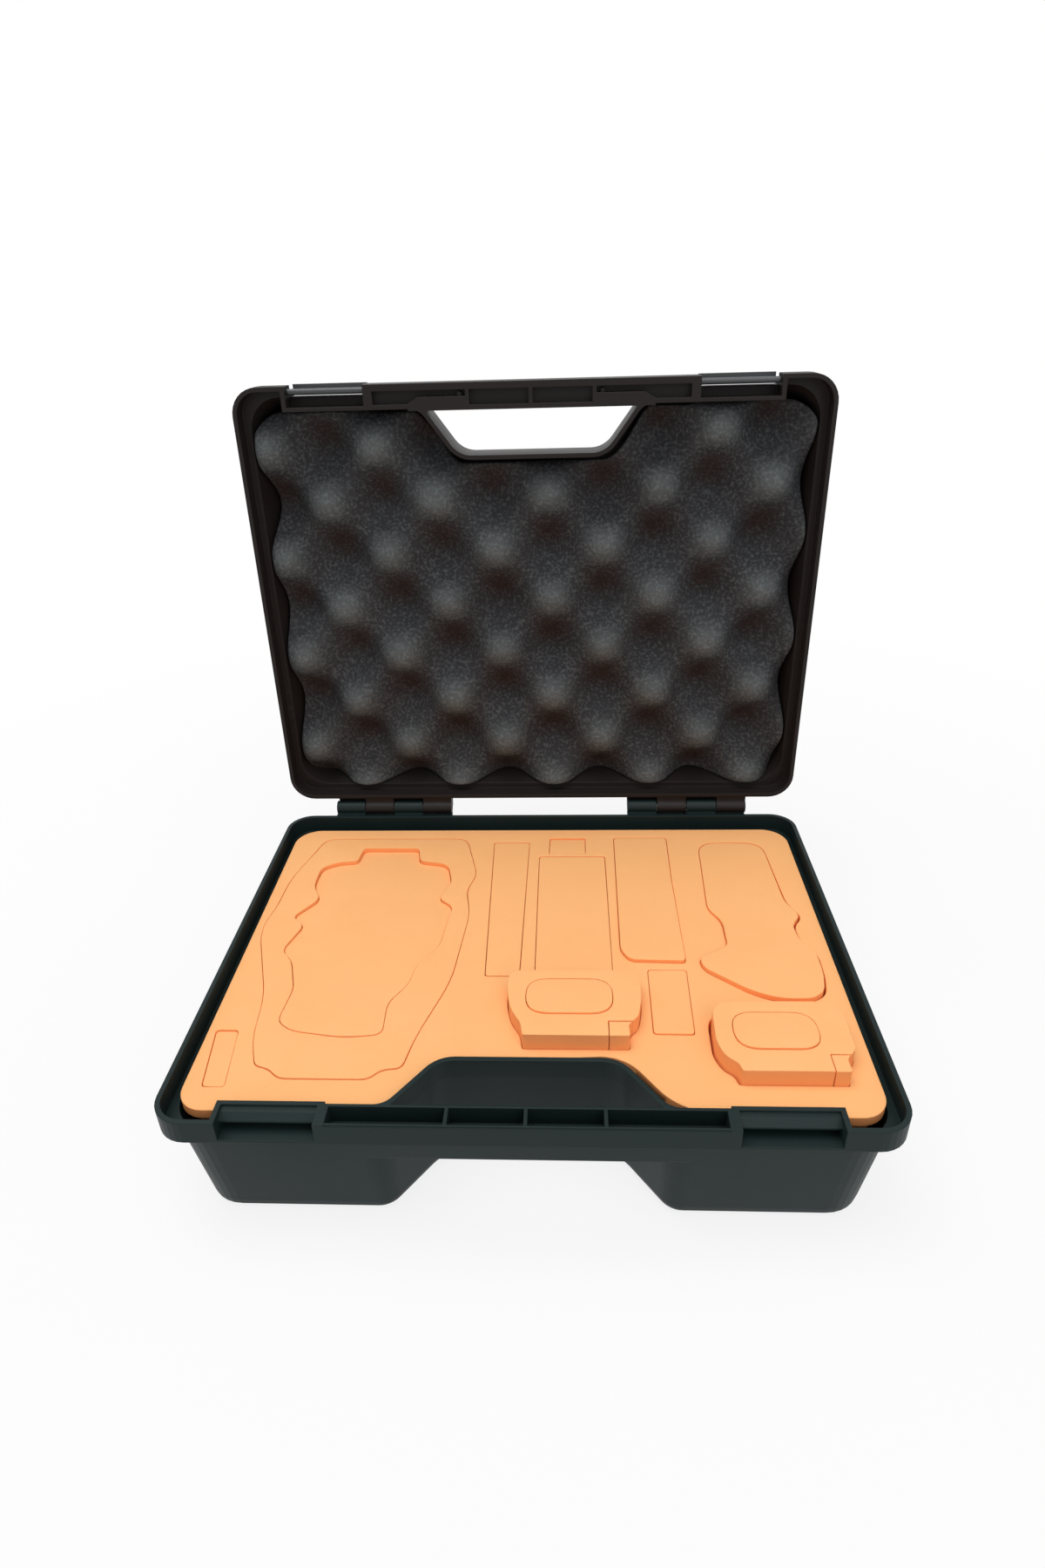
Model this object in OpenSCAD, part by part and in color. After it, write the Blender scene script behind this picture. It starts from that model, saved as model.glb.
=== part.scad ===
// Drone carrying case: two moulded shells on pin hinges, closed by two swing latches,
// with an egg-crate pad in the lid and a die-cut foam set of lift-out plugs in the base.
// Millimetres, +Z up, the handle side faces -Y. The origin is the middle of the base's
// flat underside. The case is drawn open, with the two battery plugs standing proud.

/* [Shells] */
// Width of the case across its rim
case_width = 330; // [310:1:350]
// Depth of the case from the front rim to the rear rim
case_depth = 254.4; // [240:0.2:270]
// Height of the base from its underside to its rim
base_height = 70; // [62:1:85]
// Height of the lid from its rim to its outer face
lid_height = 34; // [31:0.5:42]
// Plan radius of the rim's corners
rim_radius = 15; // [13:0.5:20]
// Growth of the plan radius from the rim's corners to the bodies below it
body_round = 9; // [4:0.5:10]
// Height of the rim band that stands out round each shell
rim_height = 12; // [11.6:0.1:13]
// Wall thickness of the rim band
rim_wall = 2.4; // [2:0.1:3.4]
// Step from the rim's outer face in to the body below it
rim_step = 3.5; // [2.5:0.1:5]
// Inward lean of the base walls at the underside, from the rim's outer face
base_lean = 9.5; // [7:0.5:12]
// Inward lean of the lid walls at its outer face, from the rim's outer face
lid_lean = 8; // [6:0.5:11]
// Wall thickness of both bodies
wall = 2.6; // [2:0.1:3.2]
// Radius of the outer bottom edge of both bodies
edge_radius = 8; // [5:0.5:11]
// Gap between the two rims when the case is shut
shut_gap = 0.3; // [0.2:0.05:0.8]

/* [Handle] */
// Half length of the handle rail along the front
rail_half = 88.5; // [84:0.5:92]
// Depth of the base's handle rail from front to back
rail_depth = 11.8; // [11:0.1:12.6]
// Depth of the lid's handle rail from front to back, over the hand hole
lid_rail_depth = 14; // [13.2:0.1:15]
// Thickness of the front wall of the lid's handle rail
lid_rail_front = 3.6; // [2.4:0.1:4]
// Depth of the cells in the lid's handle rail
lid_cell_depth = 5; // [4:0.1:8]
// Height of the base's grip, which runs on below its rail
grip_height = 27; // [13:0.5:30]
// Wall thickness of the rail's channel
rail_wall = 1.4; // [1.2:0.1:2.4]
// Distance of the channel's side ribs from its middle rib
rib_pitch = 34.5; // [28:0.5:40]
// Half width of the hand hole along the grip
hole_half = 57.5; // [50:0.5:60]
// Depth of the hand hole behind the front rim
hole_depth = 39.2; // [34:0.2:44]
// Slant of the hand hole's sides
hole_slant = 36; // [20:1:45]
// Radius of the hand hole's back corners
hole_round = 14; // [8:0.5:18]
// Growth of the hand hole for each millimetre from the rim to the outer face
hole_taper = 0.055; // [0:0.005:0.06]
// Wall thickness round the hand hole
hole_wall = 2.4; // [2:0.1:3]

/* [Hinges] */
// Distance of the hinge axis behind the rear rim
axis_back = 7.5; // [6.5:0.1:9]
// Height of the hinge axis above the base's rim
axis_rise = 2; // [1:0.1:3]
// Angle at which the lid stands open
open_angle = 92; // [80:1:100]
// Distance of each hinge's middle from the case's middle
hinge_pitch = 97.2; // [80:0.2:110]
// Length of one hinge knuckle
knuckle_length = 19.4; // [16:0.1:22]
// Outer radius of the knuckles
knuckle_radius = 4.4; // [3.6:0.1:4.8]
// Radius of the hinge pins
pin_radius = 1.5; // [1.2:0.05:2]
// Running clearance of the pins and the latch trunnions
running_gap = 0.05; // [0.03:0.01:0.1]

/* [Latches] */
// Distance of the latch slot's inner end from the case's middle
slot_start = 91.5; // [91:0.1:96]
// Length of the latch slot
slot_length = 43; // [38:0.5:44]
// Gap at each end of a latch in its slot
latch_gap = 0.4; // [0.3:0.05:0.8]
// Radius of the latch trunnions
trunnion_radius = 1.1; // [0.9:0.05:1.2]
// Angle by which the latches are folded back from their shut place
latch_fold = 183; // [0:1:184]
// Depth of the recess in the lid's front into which a latch folds
latch_recess = 6.2; // [6:0.1:7]

/* [Foam] */
// Depth of the die-cut foam's top face below the base rim
foam_drop = 5; // [4:0.5:8]
// Thickness of the die-cut foam sheet
sheet_height = 45; // [35:1:48]
// Height that the battery plugs stand proud of the sheet
plug_rise = 9; // [2:0.2:9.2]
// Gap between a plug and its pocket, on each side
plug_gap = 0.45; // [0.3:0.05:0.8]
// Depth of the egg-crate peaks behind the lid rim
peak_drop = 5; // [4.8:0.2:8]
// Height of the egg-crate peaks above its valleys
crate_height = 19; // [12:0.5:21]
// Distance between peaks along one row of the egg-crate
peak_pitch = 62.7; // [52:0.1:80]

/* [Hidden] */
$fn = 32;

hx = case_width / 2;
hy = case_depth / 2;
fy = -hy;
kx = case_width / 330;
ky = case_depth / 254.4;
axis_y = hy + axis_back;
axis_z = base_height + axis_rise;
slot_end = slot_start + slot_length;
slot_back = rail_depth - 0.8;
latch_y = fy + 3.2;
lid_rail_end = slot_back + 2;
lid_rail_back = rail_wall + 1.2;
latch_z = 5.6;
sheet_top = base_height - foam_drop;
sheet_low = sheet_top - sheet_height;
crate_back = lid_height - wall - 0.4;
plastic = [0.17, 0.19, 0.19];
latch_grey = [0.30, 0.31, 0.32];
orange = [0.95, 0.62, 0.36];
dark_foam = [0.22, 0.20, 0.20];
steel = [0.62, 0.63, 0.65];

// points of an arc round [x, y] from angle a to angle b
function arc(x, y, r, a, b, n) =
  [for (i = [0:n]) let (t = a + (b - a) * i / n) [x + r * cos(t), y + r * sin(t)]];

// outline of a rectangle of half sizes a and b with corner radius r
function rounded_box(a, b, r, n = 8) = concat(
  arc(a - r, b - r, r, 0, 90, n), arc(r - a, b - r, r, 90, 180, n),
  arc(r - a, r - b, r, 180, 270, n), arc(a - r, r - b, r, 270, 360, n));

// clockwise corners [x, y, blend] scaled with the case and blended round
function blended(c, n = 4) = [for (i = [0:len(c) - 1])
  let (m = len(c),
    p = [c[i][0] * kx, c[i][1] * ky],
    a = [c[(i + m - 1) % m][0] * kx, c[(i + m - 1) % m][1] * ky] - p,
    b = [c[(i + 1) % m][0] * kx, c[(i + 1) % m][1] * ky] - p,
    t = min(c[i][2], 0.45 * norm(a), 0.45 * norm(b)),
    s = p + a / norm(a) * t,
    e = p + b / norm(b) * t)
  for (j = [0:n]) let (k = j / n) (1 - k) * (1 - k) * s + 2 * k * (1 - k) * p + k * k * e];

// a clockwise outline drawn in by d all round
function drawn_in(p, d) = [for (i = [0:len(p) - 1])
  let (m = len(p),
    u = p[i] - p[(i + m - 1) % m],
    v = p[(i + 1) % m] - p[i],
    a = [u[1], -u[0]] / norm(u),
    b = [v[1], -v[0]] / norm(v))
  p[i] + (a + b) * d / (1 + a * b)];

// right half of the hand hole's outline, grown by g, flaring by radius r onto depth e
function hole_side(g, r, e) = let (a = hole_slant, q = hole_round + g,
    px = hole_half - 24 + q * cos(a), py = fy + hole_depth - 1.5 - hole_round + q * sin(a),
    cy = fy + e + r, sy = cy - r * sin(a), cx = px + tan(a) * (py - sy) + r * cos(a))
  concat(arc(hole_half - 24, fy + hole_depth - 1.5 - hole_round, q, 90, a, 6),
    arc(cx, cy, r, 180 + a, 270, 6));
function hole_outline(g, r, e) = let (s = hole_side(g, r, e), n = len(s)) concat(
  s, [[s[n - 1][0], fy - 20], [-s[n - 1][0], fy - 20]],
  [for (i = [0:n - 1]) [-s[n - 1 - i][0], s[n - 1 - i][1]]]);

// inset of a body's face from the rim's outer face, at depth z below the parting face
function face_inset(z, h, lean) = let (top = rim_height - 1.6,
    k = min(1, max(0, (z - h + edge_radius) / edge_radius)))
  rim_step + (lean - rim_step) * min(1, max(0, (z - top) / (h - edge_radius - top)))
    + edge_radius * (1 - sqrt(1 - k * k));

// growth of the hand hole at depth z, by its taper and its rounded outer edge of radius r
function hole_growth(z, h, r) = let (k = min(1, max(0, (z - h + r) / r)))
  hole_taper * max(0, z - rim_height) + r * (1 - sqrt(1 - k * k));

// die-cut outlines, clockwise from the rear left, measured on the photographed foam
aircraft = blended([[-111.5, 95.4, 3], [-75.9, 95.2, 3], [-73.5, 81, 4], [-55, 77.5, 7],
  [-51, 57, 5], [-57, 42, 4], [-48, 34, 4], [-51.5, -3, 7], [-62, -17, 6], [-63.5, -32, 6],
  [-72.5, -47, 6], [-71.5, -69, 5], [-90, -71.4, 14], [-117, -67, 9], [-125.5, -60.5, 6],
  [-123.5, -36.5, 5], [-130.5, -14, 5], [-137.8, -6, 5], [-131, 16.5, 5], [-139.5, 24, 4],
  [-127.5, 41.5, 6], [-134.5, 54, 7], [-134.3, 73.5, 8], [-125, 79.5, 4], [-113, 80.8, 3]]);
arms = blended([[-138, 106.5, 8], [-46, 106.5, 8], [-36.5, 66, 6], [-41, 49, 6],
  [-37.4, 27, 9], [-42, -30, 12], [-55, -70, 9], [-58.6, -90.2, 4], [-67.9, -91.2, 4],
  [-73.4, -97.1, 4], [-115.2, -97.1, 4], [-121.6, -91.2, 4], [-128.5, -89.4, 5],
  [-134.5, -72, 9], [-137.4, -42, 10], [-152.8, 4.8, 10], [-154.2, 18, 8], [-151.4, 34, 8],
  [-150.6, 60, 16]]);
blade = blended([[-154.3, -66, 2], [-143, -66, 2], [-138.6, -102, 2], [-149.4, -102, 2]]);
cable = blended([[-28.2, 101.6, 2], [-5.4, 101.6, 2], [-6.6, -26.2, 2], [-25, -26.2, 2]]);
charger = blended([[1, 85.6, 2], [42, 85.6, 2], [42, -22.5, 2], [1, -22.5, 2]]);
cord = blended([[7.4, 106.4, 2], [30.2, 106.4, 2], [30, 88.4, 2], [7, 88.4, 2]]);
tablet = blended([[48.1, 107, 3], [82, 107, 3], [80.8, 60, 6], [80.8, -15.6, 3],
  [51, -14.6, 8], [46.6, -6, 8]]);
controller = blended([[101, 101, 12], [141, 101, 12], [143.8, 37, 6], [149.9, 24, 5],
  [143.6, 15.6, 5], [144.6, 2, 5], [151, -8, 6], [150.6, -26, 8], [148, -39, 6],
  [140, -44.6, 8], [124, -45, 9], [111, -39.4, 7], [89, -21.4, 5], [87.6, -12, 5],
  [104.3, -3.4, 5], [104.2, 19.6, 6], [97.9, 30.2, 6]]);
adapter = blended([[60, -20.4, 2], [80.4, -20.4, 2], [79.2, -67.4, 2], [59.3, -67.2, 2]]);
battery_left = blended([[-12, -31, 3], [55, -31, 3], [54.8, -52, 8], [52.4, -64, 6],
  [47.6, -69.6, 2.5], [47.6, -77.2, 1.2], [-3.4, -77.2, 1.2], [-4.6, -68.6, 2.5],
  [-9, -61.6, 6], [-12, -49, 8]]);
core_left = blended([[-2.4, -37.6, 12], [40.6, -37.6, 12], [40.6, -63, 12], [-2.4, -63, 12]], 8);
tail_left = blended([[37.6, -67.4, 1], [47.6, -67.4, 1], [47.6, -77.2, 1], [37.6, -77.2, 1]]);
battery_right = blended([[86.2, -52, 3], [150, -52, 3], [149.6, -84, 6], [144.2, -90, 3],
  [144.2, -98, 1.2], [95, -98, 1.2], [93.8, -93.4, 2.5], [88.6, -89, 5], [85.6, -81, 7]]);
core_right = blended([[95.4, -60.6, 12], [135, -60.6, 12], [135, -85, 12], [95.4, -85, 12]], 8);
tail_right = blended([[136.8, -87.6, 1], [144.2, -87.6, 1], [144.2, -98, 1], [136.8, -98, 1]]);

// solid tub of height h, from inset a at depth top to inset b, drawn in by d
module tub(h, a, b, d, top = rim_height - 1.6) {
  e = edge_radius - min(d, edge_radius - 3);
  hull() {
    translate([0, 0, top])
      linear_extrude(0.1) polygon(rounded_box(hx - a - d, hy - a - d, rim_radius + body_round - a - d));
    for (i = [0:4]) let (t = 22.5 * i, s = b + d + e * (1 - cos(t)))
      translate([0, 0, h - d - e + e * sin(t)])
        linear_extrude(0.02) polygon(rounded_box(hx - s, hy - s, rim_radius + body_round - s + 4));
  }
}

// a block from [x0, y0, z0] to [x1, y1, z1]
module block(p, q) {
  translate(p) cube(q - p);
}

// the hand hole's space through a body, drawn d larger, flaring onto its leaning front face
module hole_space(h, lean, d, r) {
  zs = concat([-2, rim_height - 1.6], [for (i = [0:6]) h - edge_radius * (1 - sin(15 * i))], [h + 3]);
  rows = [for (z = zs) let (g = hole_growth(z, h, r))
    hole_outline(d + g, max(0.8, 16 - d - g), d + face_inset(z, h, lean))];
  n = len(rows[0]);
  m = len(zs);
  polyhedron(
    points = concat([for (k = [0:m - 1], q = rows[k]) [q[0], q[1], zs[k]]],
      [[0, fy - 15, zs[0]], [0, fy - 15, zs[m - 1]]]),
    faces = concat(
      [for (k = [0:m - 2], i = [0:n - 1]) let (a = k * n, j = (i + 1) % n) [a + i, a + j, a + n + i]],
      [for (k = [0:m - 2], i = [0:n - 1]) let (a = k * n, j = (i + 1) % n) [a + j, a + n + j, a + n + i]],
      [for (i = [0:n - 1]) [m * n, (i + 1) % n, i]],
      [for (i = [0:n - 1]) [m * n + 1, (m - 1) * n + i, (m - 1) * n + (i + 1) % n]]));
}

// one shell with its parting face down at z = 0, its handle rail of depth rail over the hand hole
// and end beside it, the grip that runs on below the rail to depth grip, and its latch boxes
module half_shell(h, lean, box_top, hole_edge, rail, end, grip) {
  difference() {
    union() {
      linear_extrude(rim_height) polygon(rounded_box(hx, hy, rim_radius));
      tub(h, rim_step, lean, 0);
    }
    difference() {
      union() {
        translate([0, 0, -1]) linear_extrude(rim_height - 0.6)
          polygon(rounded_box(hx - rim_wall, hy - rim_wall, rim_radius - rim_wall));
        tub(h, rim_step, lean, wall);
      }
      block([-rail_half, fy, -2], [rail_half, fy + end, rim_height]);
      block([-hole_half - 10, fy, 0], [hole_half + 10, fy + rail, grip]);
      translate([0, 0, -2]) linear_extrude(rim_height + 2) polygon(hole_outline(hole_wall, 10, end));
      for (s = [-1, 1])
        mirror([s < 0 ? 1 : 0, 0, 0]) translate([slot_start + slot_length / 2, 0, 0])
          block([-slot_length / 2 - 3, fy, -2], [slot_length / 2 + 2.4, fy + slot_back + 2, box_top]);
      hole_space(h, lean, hole_wall, hole_edge);
    }
    difference() {
      hole_space(h, lean, 0, hole_edge);
      block([-hx, fy - 30, -3], [hx, fy + rail, grip]);
    }
  }
}

// the four open cells of a handle rail, with walls front and back, ribs of half thickness rib
module rail_channel(rail, end, front, back, rib, deep) {
  for (s = [-1, 1]) mirror([s < 0 ? 1 : 0, 0, 0]) {
    block([rib, fy + front, -1], [rib_pitch - rib, fy + rail - back, deep]);
    block([rib_pitch + rib, fy + front, -1], [rail_half - 2, fy + end - back, deep]);
  }
}

// the two latch openings in the front of a shell, cut to depth d behind the parting face
module latch_slots(d) {
  for (s = [-1, 1])
    translate([s * (slot_start + slot_length / 2), 0, 0])
      block([-slot_length / 2, fy - 3, -1], [slot_length / 2, fy + slot_back, d]);
}

// knuckles first, first + 2 of both hinges and the leaf behind them, on a shell with its
// parting face down
module knuckles(first, rise) {
  leaf = rise + knuckle_radius + 0.4;
  for (c = [-hinge_pitch, hinge_pitch])
    translate([c - 2 * knuckle_length + 0.25, 0, 0]) rotate([90, 0, 90])
      linear_extrude(4 * knuckle_length - 0.5) polygon([[hy - 1, leaf], [axis_y + 1.6, leaf],
        [axis_y + 1.6, leaf + 1.4], [hy - 1, rim_height - 0.5]]);
  for (c = [-hinge_pitch, hinge_pitch], k = [first, first + 2])
    translate([c + (k - 2) * knuckle_length + 0.25, 0, 0])
      rotate([90, 0, 90]) difference() {
        linear_extrude(knuckle_length - 0.5) union() {
          translate([axis_y, rise]) circle(knuckle_radius);
          polygon([[hy - 1, rim_height - 0.5], [hy - 1, 0.6], [hy + 3.4, 0.6], [axis_y, rise],
            [axis_y + 0.7 * knuckle_radius, rise + 0.7 * knuckle_radius]]);
        }
        translate([axis_y, rise, -1]) cylinder(r = pin_radius + running_gap, h = knuckle_length + 2);
      }
}

// turns what is drawn in the shut lid's place to the open lid's place
module lid_place() {
  translate([0, axis_y, axis_z]) rotate([-open_angle, 0, 0])
    translate([0, -axis_y, base_height + shut_gap - axis_z]) children();
}

module base_shell() {
  color(plastic) difference() {
    translate([0, 0, base_height]) mirror([0, 0, 1]) union() {
      difference() {
        half_shell(base_height + 1, base_lean, rim_height, edge_radius, rail_depth, rail_depth,
          grip_height);
        rail_channel(rail_depth, rail_depth, rail_wall, rail_wall, 0.8, rim_height - 2.4);
        latch_slots(rim_height - 1.7);
        block([-rail_half + 2, fy - 1, -1], [rail_half - 2, fy + 0.4, 0.9]);
      }
      for (s = [-1, 1])
        translate([s * (slot_start + slot_length / 2) - slot_length / 2 - 0.5, 0, 0])
          rotate([90, 0, 90]) linear_extrude(slot_length + 1)
            polygon([[fy + slot_back + 0.5, 1.5], [fy + 8.5, 1.8], [fy + 5.5, 4.4],
              [fy + 5.5, 5.4], [fy + slot_back + 0.5, 5.4]]);
      knuckles(0, -axis_rise);
    }
    translate([-hx, -hy, -5]) cube([2 * hx, 2 * hy, 5]);
  }
}

module lid_shell() {
  color(plastic) lid_place() {
    difference() {
      union() {
        half_shell(lid_height, lid_lean, rim_height + 2.2, edge_radius / 2, lid_rail_depth,
          lid_rail_end, rim_height);
        for (s = [-1, 1])
          translate([s * (slot_start + slot_length / 2), 0, 0])
            block([-slot_length / 2 - 2.4, fy + latch_recess + 0.1, rim_height],
              [slot_length / 2 + 2.4, fy + latch_recess + 2.2, 20]);
      }
      rail_channel(lid_rail_depth, lid_rail_end, lid_rail_front, lid_rail_back, 1.1, lid_cell_depth);
      latch_slots(rim_height);
      for (s = [-1, 1])
        translate([s * (slot_start + slot_length / 2), 0, 0])
          block([-slot_length / 2, fy - 3, rim_height - 1], [slot_length / 2, fy + latch_recess, 22]);
      for (s = [-1, 1])
        translate([s * (slot_start + slot_length / 2) - slot_length / 2 - 1.8, latch_y, latch_z])
          rotate([0, 90, 0]) cylinder(r = trunnion_radius + running_gap, h = slot_length + 3.6);
    }
    for (s = [-1, 1]) mirror([s < 0 ? 1 : 0, 0, 0]) translate([0, fy + lid_rail_end - lid_rail_back, 0]) {
      translate([rib_pitch + 4.4, -4.5, 1.5]) cylinder(r = 1.3, h = lid_cell_depth - 1.2);
      linear_extrude(lid_cell_depth + 0.3) polygon([[rib_pitch + 0.8, 0.4], [rib_pitch + 0.8, -3.5],
        [hole_half + 4, -3.5], [hole_half + 11, 0.4]]);
    }
    knuckles(1, axis_rise - shut_gap);
  }
}

module hinge_pin(s) {
  color(steel) translate([s * hinge_pitch - 2 * knuckle_length + 0.6, axis_y, axis_z])
    rotate([0, 90, 0]) cylinder(r = pin_radius, h = 4 * knuckle_length - 1.2);
}
module hinge_pin_left() { hinge_pin(-1); }
module hinge_pin_right() { hinge_pin(1); }

// a latch: a flap with its hook and its trunnions in the lid, folded back from its shut place
module latch(s) {
  color(latch_grey) lid_place()
    translate([s * (slot_start + slot_length / 2), latch_y, latch_z]) rotate([-latch_fold, 0, 0]) {
      translate([latch_gap - slot_length / 2, 0, 0]) rotate([90, 0, 90])
        linear_extrude(slot_length - 2 * latch_gap) union() {
          circle(1.7);
          polygon([[-1.3, 0], [1.4, -0.6], [0.7, -3], [0.7, -12.2], [3.9, -12.2], [3.9, -13],
            [1.8, -15.4], [-0.9, -15.4], [-1.3, -15]]);
        }
      translate([-slot_length / 2 - 1.4, 0, 0]) rotate([0, 90, 0])
        cylinder(r = trunnion_radius, h = slot_length + 2.8);
    }
}
module latch_left() { latch(-1); }
module latch_right() { latch(1); }

// front edge of the lid foam at x, stepping back round the hand hole
function crate_front(x) = let (b = hole_half + 14, c = hole_half - 17,
    k = min(1, max(0, (b - abs(x)) / (b - c))))
  fy + slot_back + 3.2 + (lid_rail_depth - slot_back - 1.8) * min(1, max(0, (99 - abs(x)) / 8))
    + (hole_depth - 11) * k * k * (3 - 2 * k);

// half width of the lid foam at y, rounded in at its rear and front corners
function crate_half(y, rear, front) = let (r = 13, d = max(0, y - rear + r, front + r - y))
  hx - 7.2 - r + sqrt(max(0, r * r - min(d, r) * min(d, r)));

// egg-crate pad: a wavy face of staggered peaks on a flat back, its edges leaning with the lid
module lid_foam() {
  nx = 36;
  ny = 27;
  rear = hy - 6.6;
  front = crate_front(hx);
  pts = [for (j = [0:ny], i = [0:nx])
    let (u = 2 * i / nx - 1, x0 = u * (hx - 7.2),
      y = max(front + (rear - front) * j / ny, crate_front(x0) + 0.5 * j),
      x = u * crate_half(y, rear, front),
      s = cos(360 * (x + 21.3 * kx) / (peak_pitch * kx)) * cos(180 * (y - 24.6 * ky) / (31 * ky)),
      t = peak_drop + crate_height * (1 - s) / 2, k = 1 - 0.0023 * max(0, t - 10))
    [x * k, y > 0 ? y * k : y, t]];
  rim = concat([for (i = [0:nx]) i], [for (j = [1:ny]) j * (nx + 1) + nx],
    [for (i = [1:nx]) ny * (nx + 1) + nx - i], [for (j = [1:ny - 1]) (ny - j) * (nx + 1)]);
  n = len(pts);
  m = len(rim);
  back = [for (k = rim) let (p = pts[k])
    [p[0] * 0.95, p[1] > 0 ? p[1] * 0.93 : p[1] + 1.2 + 70 * hole_taper, crate_back]];
  color(dark_foam) lid_place() polyhedron(points = concat(pts, back, [[0, 40 * ky, crate_back]]),
    faces = concat(
      [for (j = [0:ny - 1], i = [0:nx - 1]) let (a = j * (nx + 1) + i) [a, a + 1, a + nx + 2]],
      [for (j = [0:ny - 1], i = [0:nx - 1]) let (a = j * (nx + 1) + i) [a, a + nx + 2, a + nx + 1]],
      [for (k = [0:m - 1]) [rim[k], n + k, n + (k + 1) % m]],
      [for (k = [0:m - 1]) [rim[k], n + (k + 1) % m, rim[(k + 1) % m]]],
      [for (k = [0:m - 1]) [n + k, n + m, n + (k + 1) % m]]));
}

// foam stock between two heights that fits the base's inside, clear of rail and hand hole
module stock(low, high) {
  difference() {
    intersection() {
      translate([0, 0, low]) linear_extrude(high - low)
        translate([0, 0.4 * ky]) polygon(rounded_box(hx - 5, 115.8 * ky, 15));
      union() {
        translate([0, 0, base_height - rim_height + 1.8]) linear_extrude(rim_height)
          polygon(rounded_box(hx - rim_wall - 1, hy - rim_wall - 1, rim_radius - rim_wall - 1));
        translate([0, 0, base_height]) mirror([0, 0, 1])
          tub(base_height + 1, rim_step, base_lean, wall + 0.5, rim_height - 4);
      }
    }
    block([-slot_end - 3.6, fy - 1, -1], [slot_end + 3.6, fy + slot_back + 2.6, base_height]);
    translate([0, 0, -1]) linear_extrude(base_height + 2)
      polygon(hole_outline(hole_wall + 1.3, 12, slot_back + 2.6));
    translate([0, 0, base_height]) mirror([0, 0, 1])
      hole_space(base_height + 1, base_lean, hole_wall + 1.3, edge_radius);
  }
}

module pocket(outline) {
  translate([0, 0, sheet_low - 1]) linear_extrude(sheet_height + 2) polygon(outline);
}

// a lift-out plug standing on the floor pad, its top at rise over the sheet
module plug(outline, rise = 0) {
  color(orange) translate([0, 0, sheet_low + 0.3])
    linear_extrude(sheet_height - 0.3 + rise) polygon(drawn_in(outline, plug_gap));
}

module floor_pad() {
  color(orange) stock(wall + 0.3, sheet_low - 0.1);
}

module die_cut_sheet() {
  color(orange) difference() {
    stock(sheet_low, sheet_top);
    pocket(arms);
    pocket(blade);
    pocket(cable);
    pocket(charger);
    pocket(cord);
    pocket(tablet);
    pocket(controller);
    pocket(adapter);
    pocket(battery_left);
    pocket(battery_right);
  }
}

module aircraft_plug() { plug(aircraft, -2.4); }
module arm_plug() {
  difference() {
    plug(arms, -0.2);
    color(orange) pocket(aircraft);
  }
}
module blade_plug() { plug(blade, -0.5); }
module cable_plug() { plug(cable, -0.5); }
module charger_plug() { plug(charger, -0.3); }
module cord_plug() { plug(cord, -0.8); }
module tablet_plug() { plug(tablet, 1.6); }
module controller_plug() { plug(controller, 2.4); }
module adapter_plug() { plug(adapter, 0.5); }

module battery_plug(outline, core, tail) {
  difference() {
    plug(outline, plug_rise);
    color(orange) for (p = [core, tail])
      translate([0, 0, sheet_low - 1]) linear_extrude(sheet_height + 20) polygon(p);
  }
}
module battery_plug_left() { battery_plug(battery_left, core_left, tail_cut(tail_left)); }
module battery_core_left() { plug(core_left, plug_rise + 0.6); }
module battery_tail_left() { plug(tail_left, plug_rise - 0.1); }
module battery_plug_right() { battery_plug(battery_right, core_right, tail_cut(tail_right)); }
module battery_core_right() { plug(core_right, plug_rise + 0.6); }
module battery_tail_right() { plug(tail_right, plug_rise - 0.1); }

// a tail's pocket runs out through the plug's front and side faces
function tail_cut(p) = [for (q = p) [q[0] > (p[0][0] + p[9][0]) / 2 ? q[0] + 2 : q[0],
  q[1] < (p[0][1] + p[14][1]) / 2 ? q[1] - 2 : q[1]]];

base_shell();
lid_shell();
hinge_pin_left();
hinge_pin_right();
latch_left();
latch_right();
lid_foam();
floor_pad();
die_cut_sheet();
aircraft_plug();
arm_plug();
blade_plug();
cable_plug();
charger_plug();
cord_plug();
tablet_plug();
controller_plug();
adapter_plug();
battery_plug_left();
battery_core_left();
battery_tail_left();
battery_plug_right();
battery_core_right();
battery_tail_right();
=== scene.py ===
"""Drone carrying case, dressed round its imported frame.

The shells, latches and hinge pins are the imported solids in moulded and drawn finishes. The
egg-crate pad, the die-cut sheet, the floor pad and the lift-out plugs are new foam pieces.
Sizes are in millimetres in the row frame and become metres when a mesh is written.
"""

import logging
import math
from dataclasses import dataclass
from enum import Enum
from functools import cached_property

import bmesh
import bpy
import numpy as np
from mathutils import Matrix, Vector


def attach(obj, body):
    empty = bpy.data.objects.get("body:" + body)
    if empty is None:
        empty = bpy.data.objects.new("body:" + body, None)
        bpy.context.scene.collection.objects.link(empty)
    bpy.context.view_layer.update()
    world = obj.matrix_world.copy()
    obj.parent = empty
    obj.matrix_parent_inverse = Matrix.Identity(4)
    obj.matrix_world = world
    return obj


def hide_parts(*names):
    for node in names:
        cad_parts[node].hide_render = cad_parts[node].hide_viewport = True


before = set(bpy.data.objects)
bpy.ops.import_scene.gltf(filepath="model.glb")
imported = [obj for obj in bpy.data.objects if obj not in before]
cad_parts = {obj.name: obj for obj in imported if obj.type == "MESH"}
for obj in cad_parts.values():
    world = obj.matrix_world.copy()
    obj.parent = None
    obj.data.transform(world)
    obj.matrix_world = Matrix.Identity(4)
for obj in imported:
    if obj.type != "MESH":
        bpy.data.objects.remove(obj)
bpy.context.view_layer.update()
LOG = logging.getLogger("carrying_case")

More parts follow.
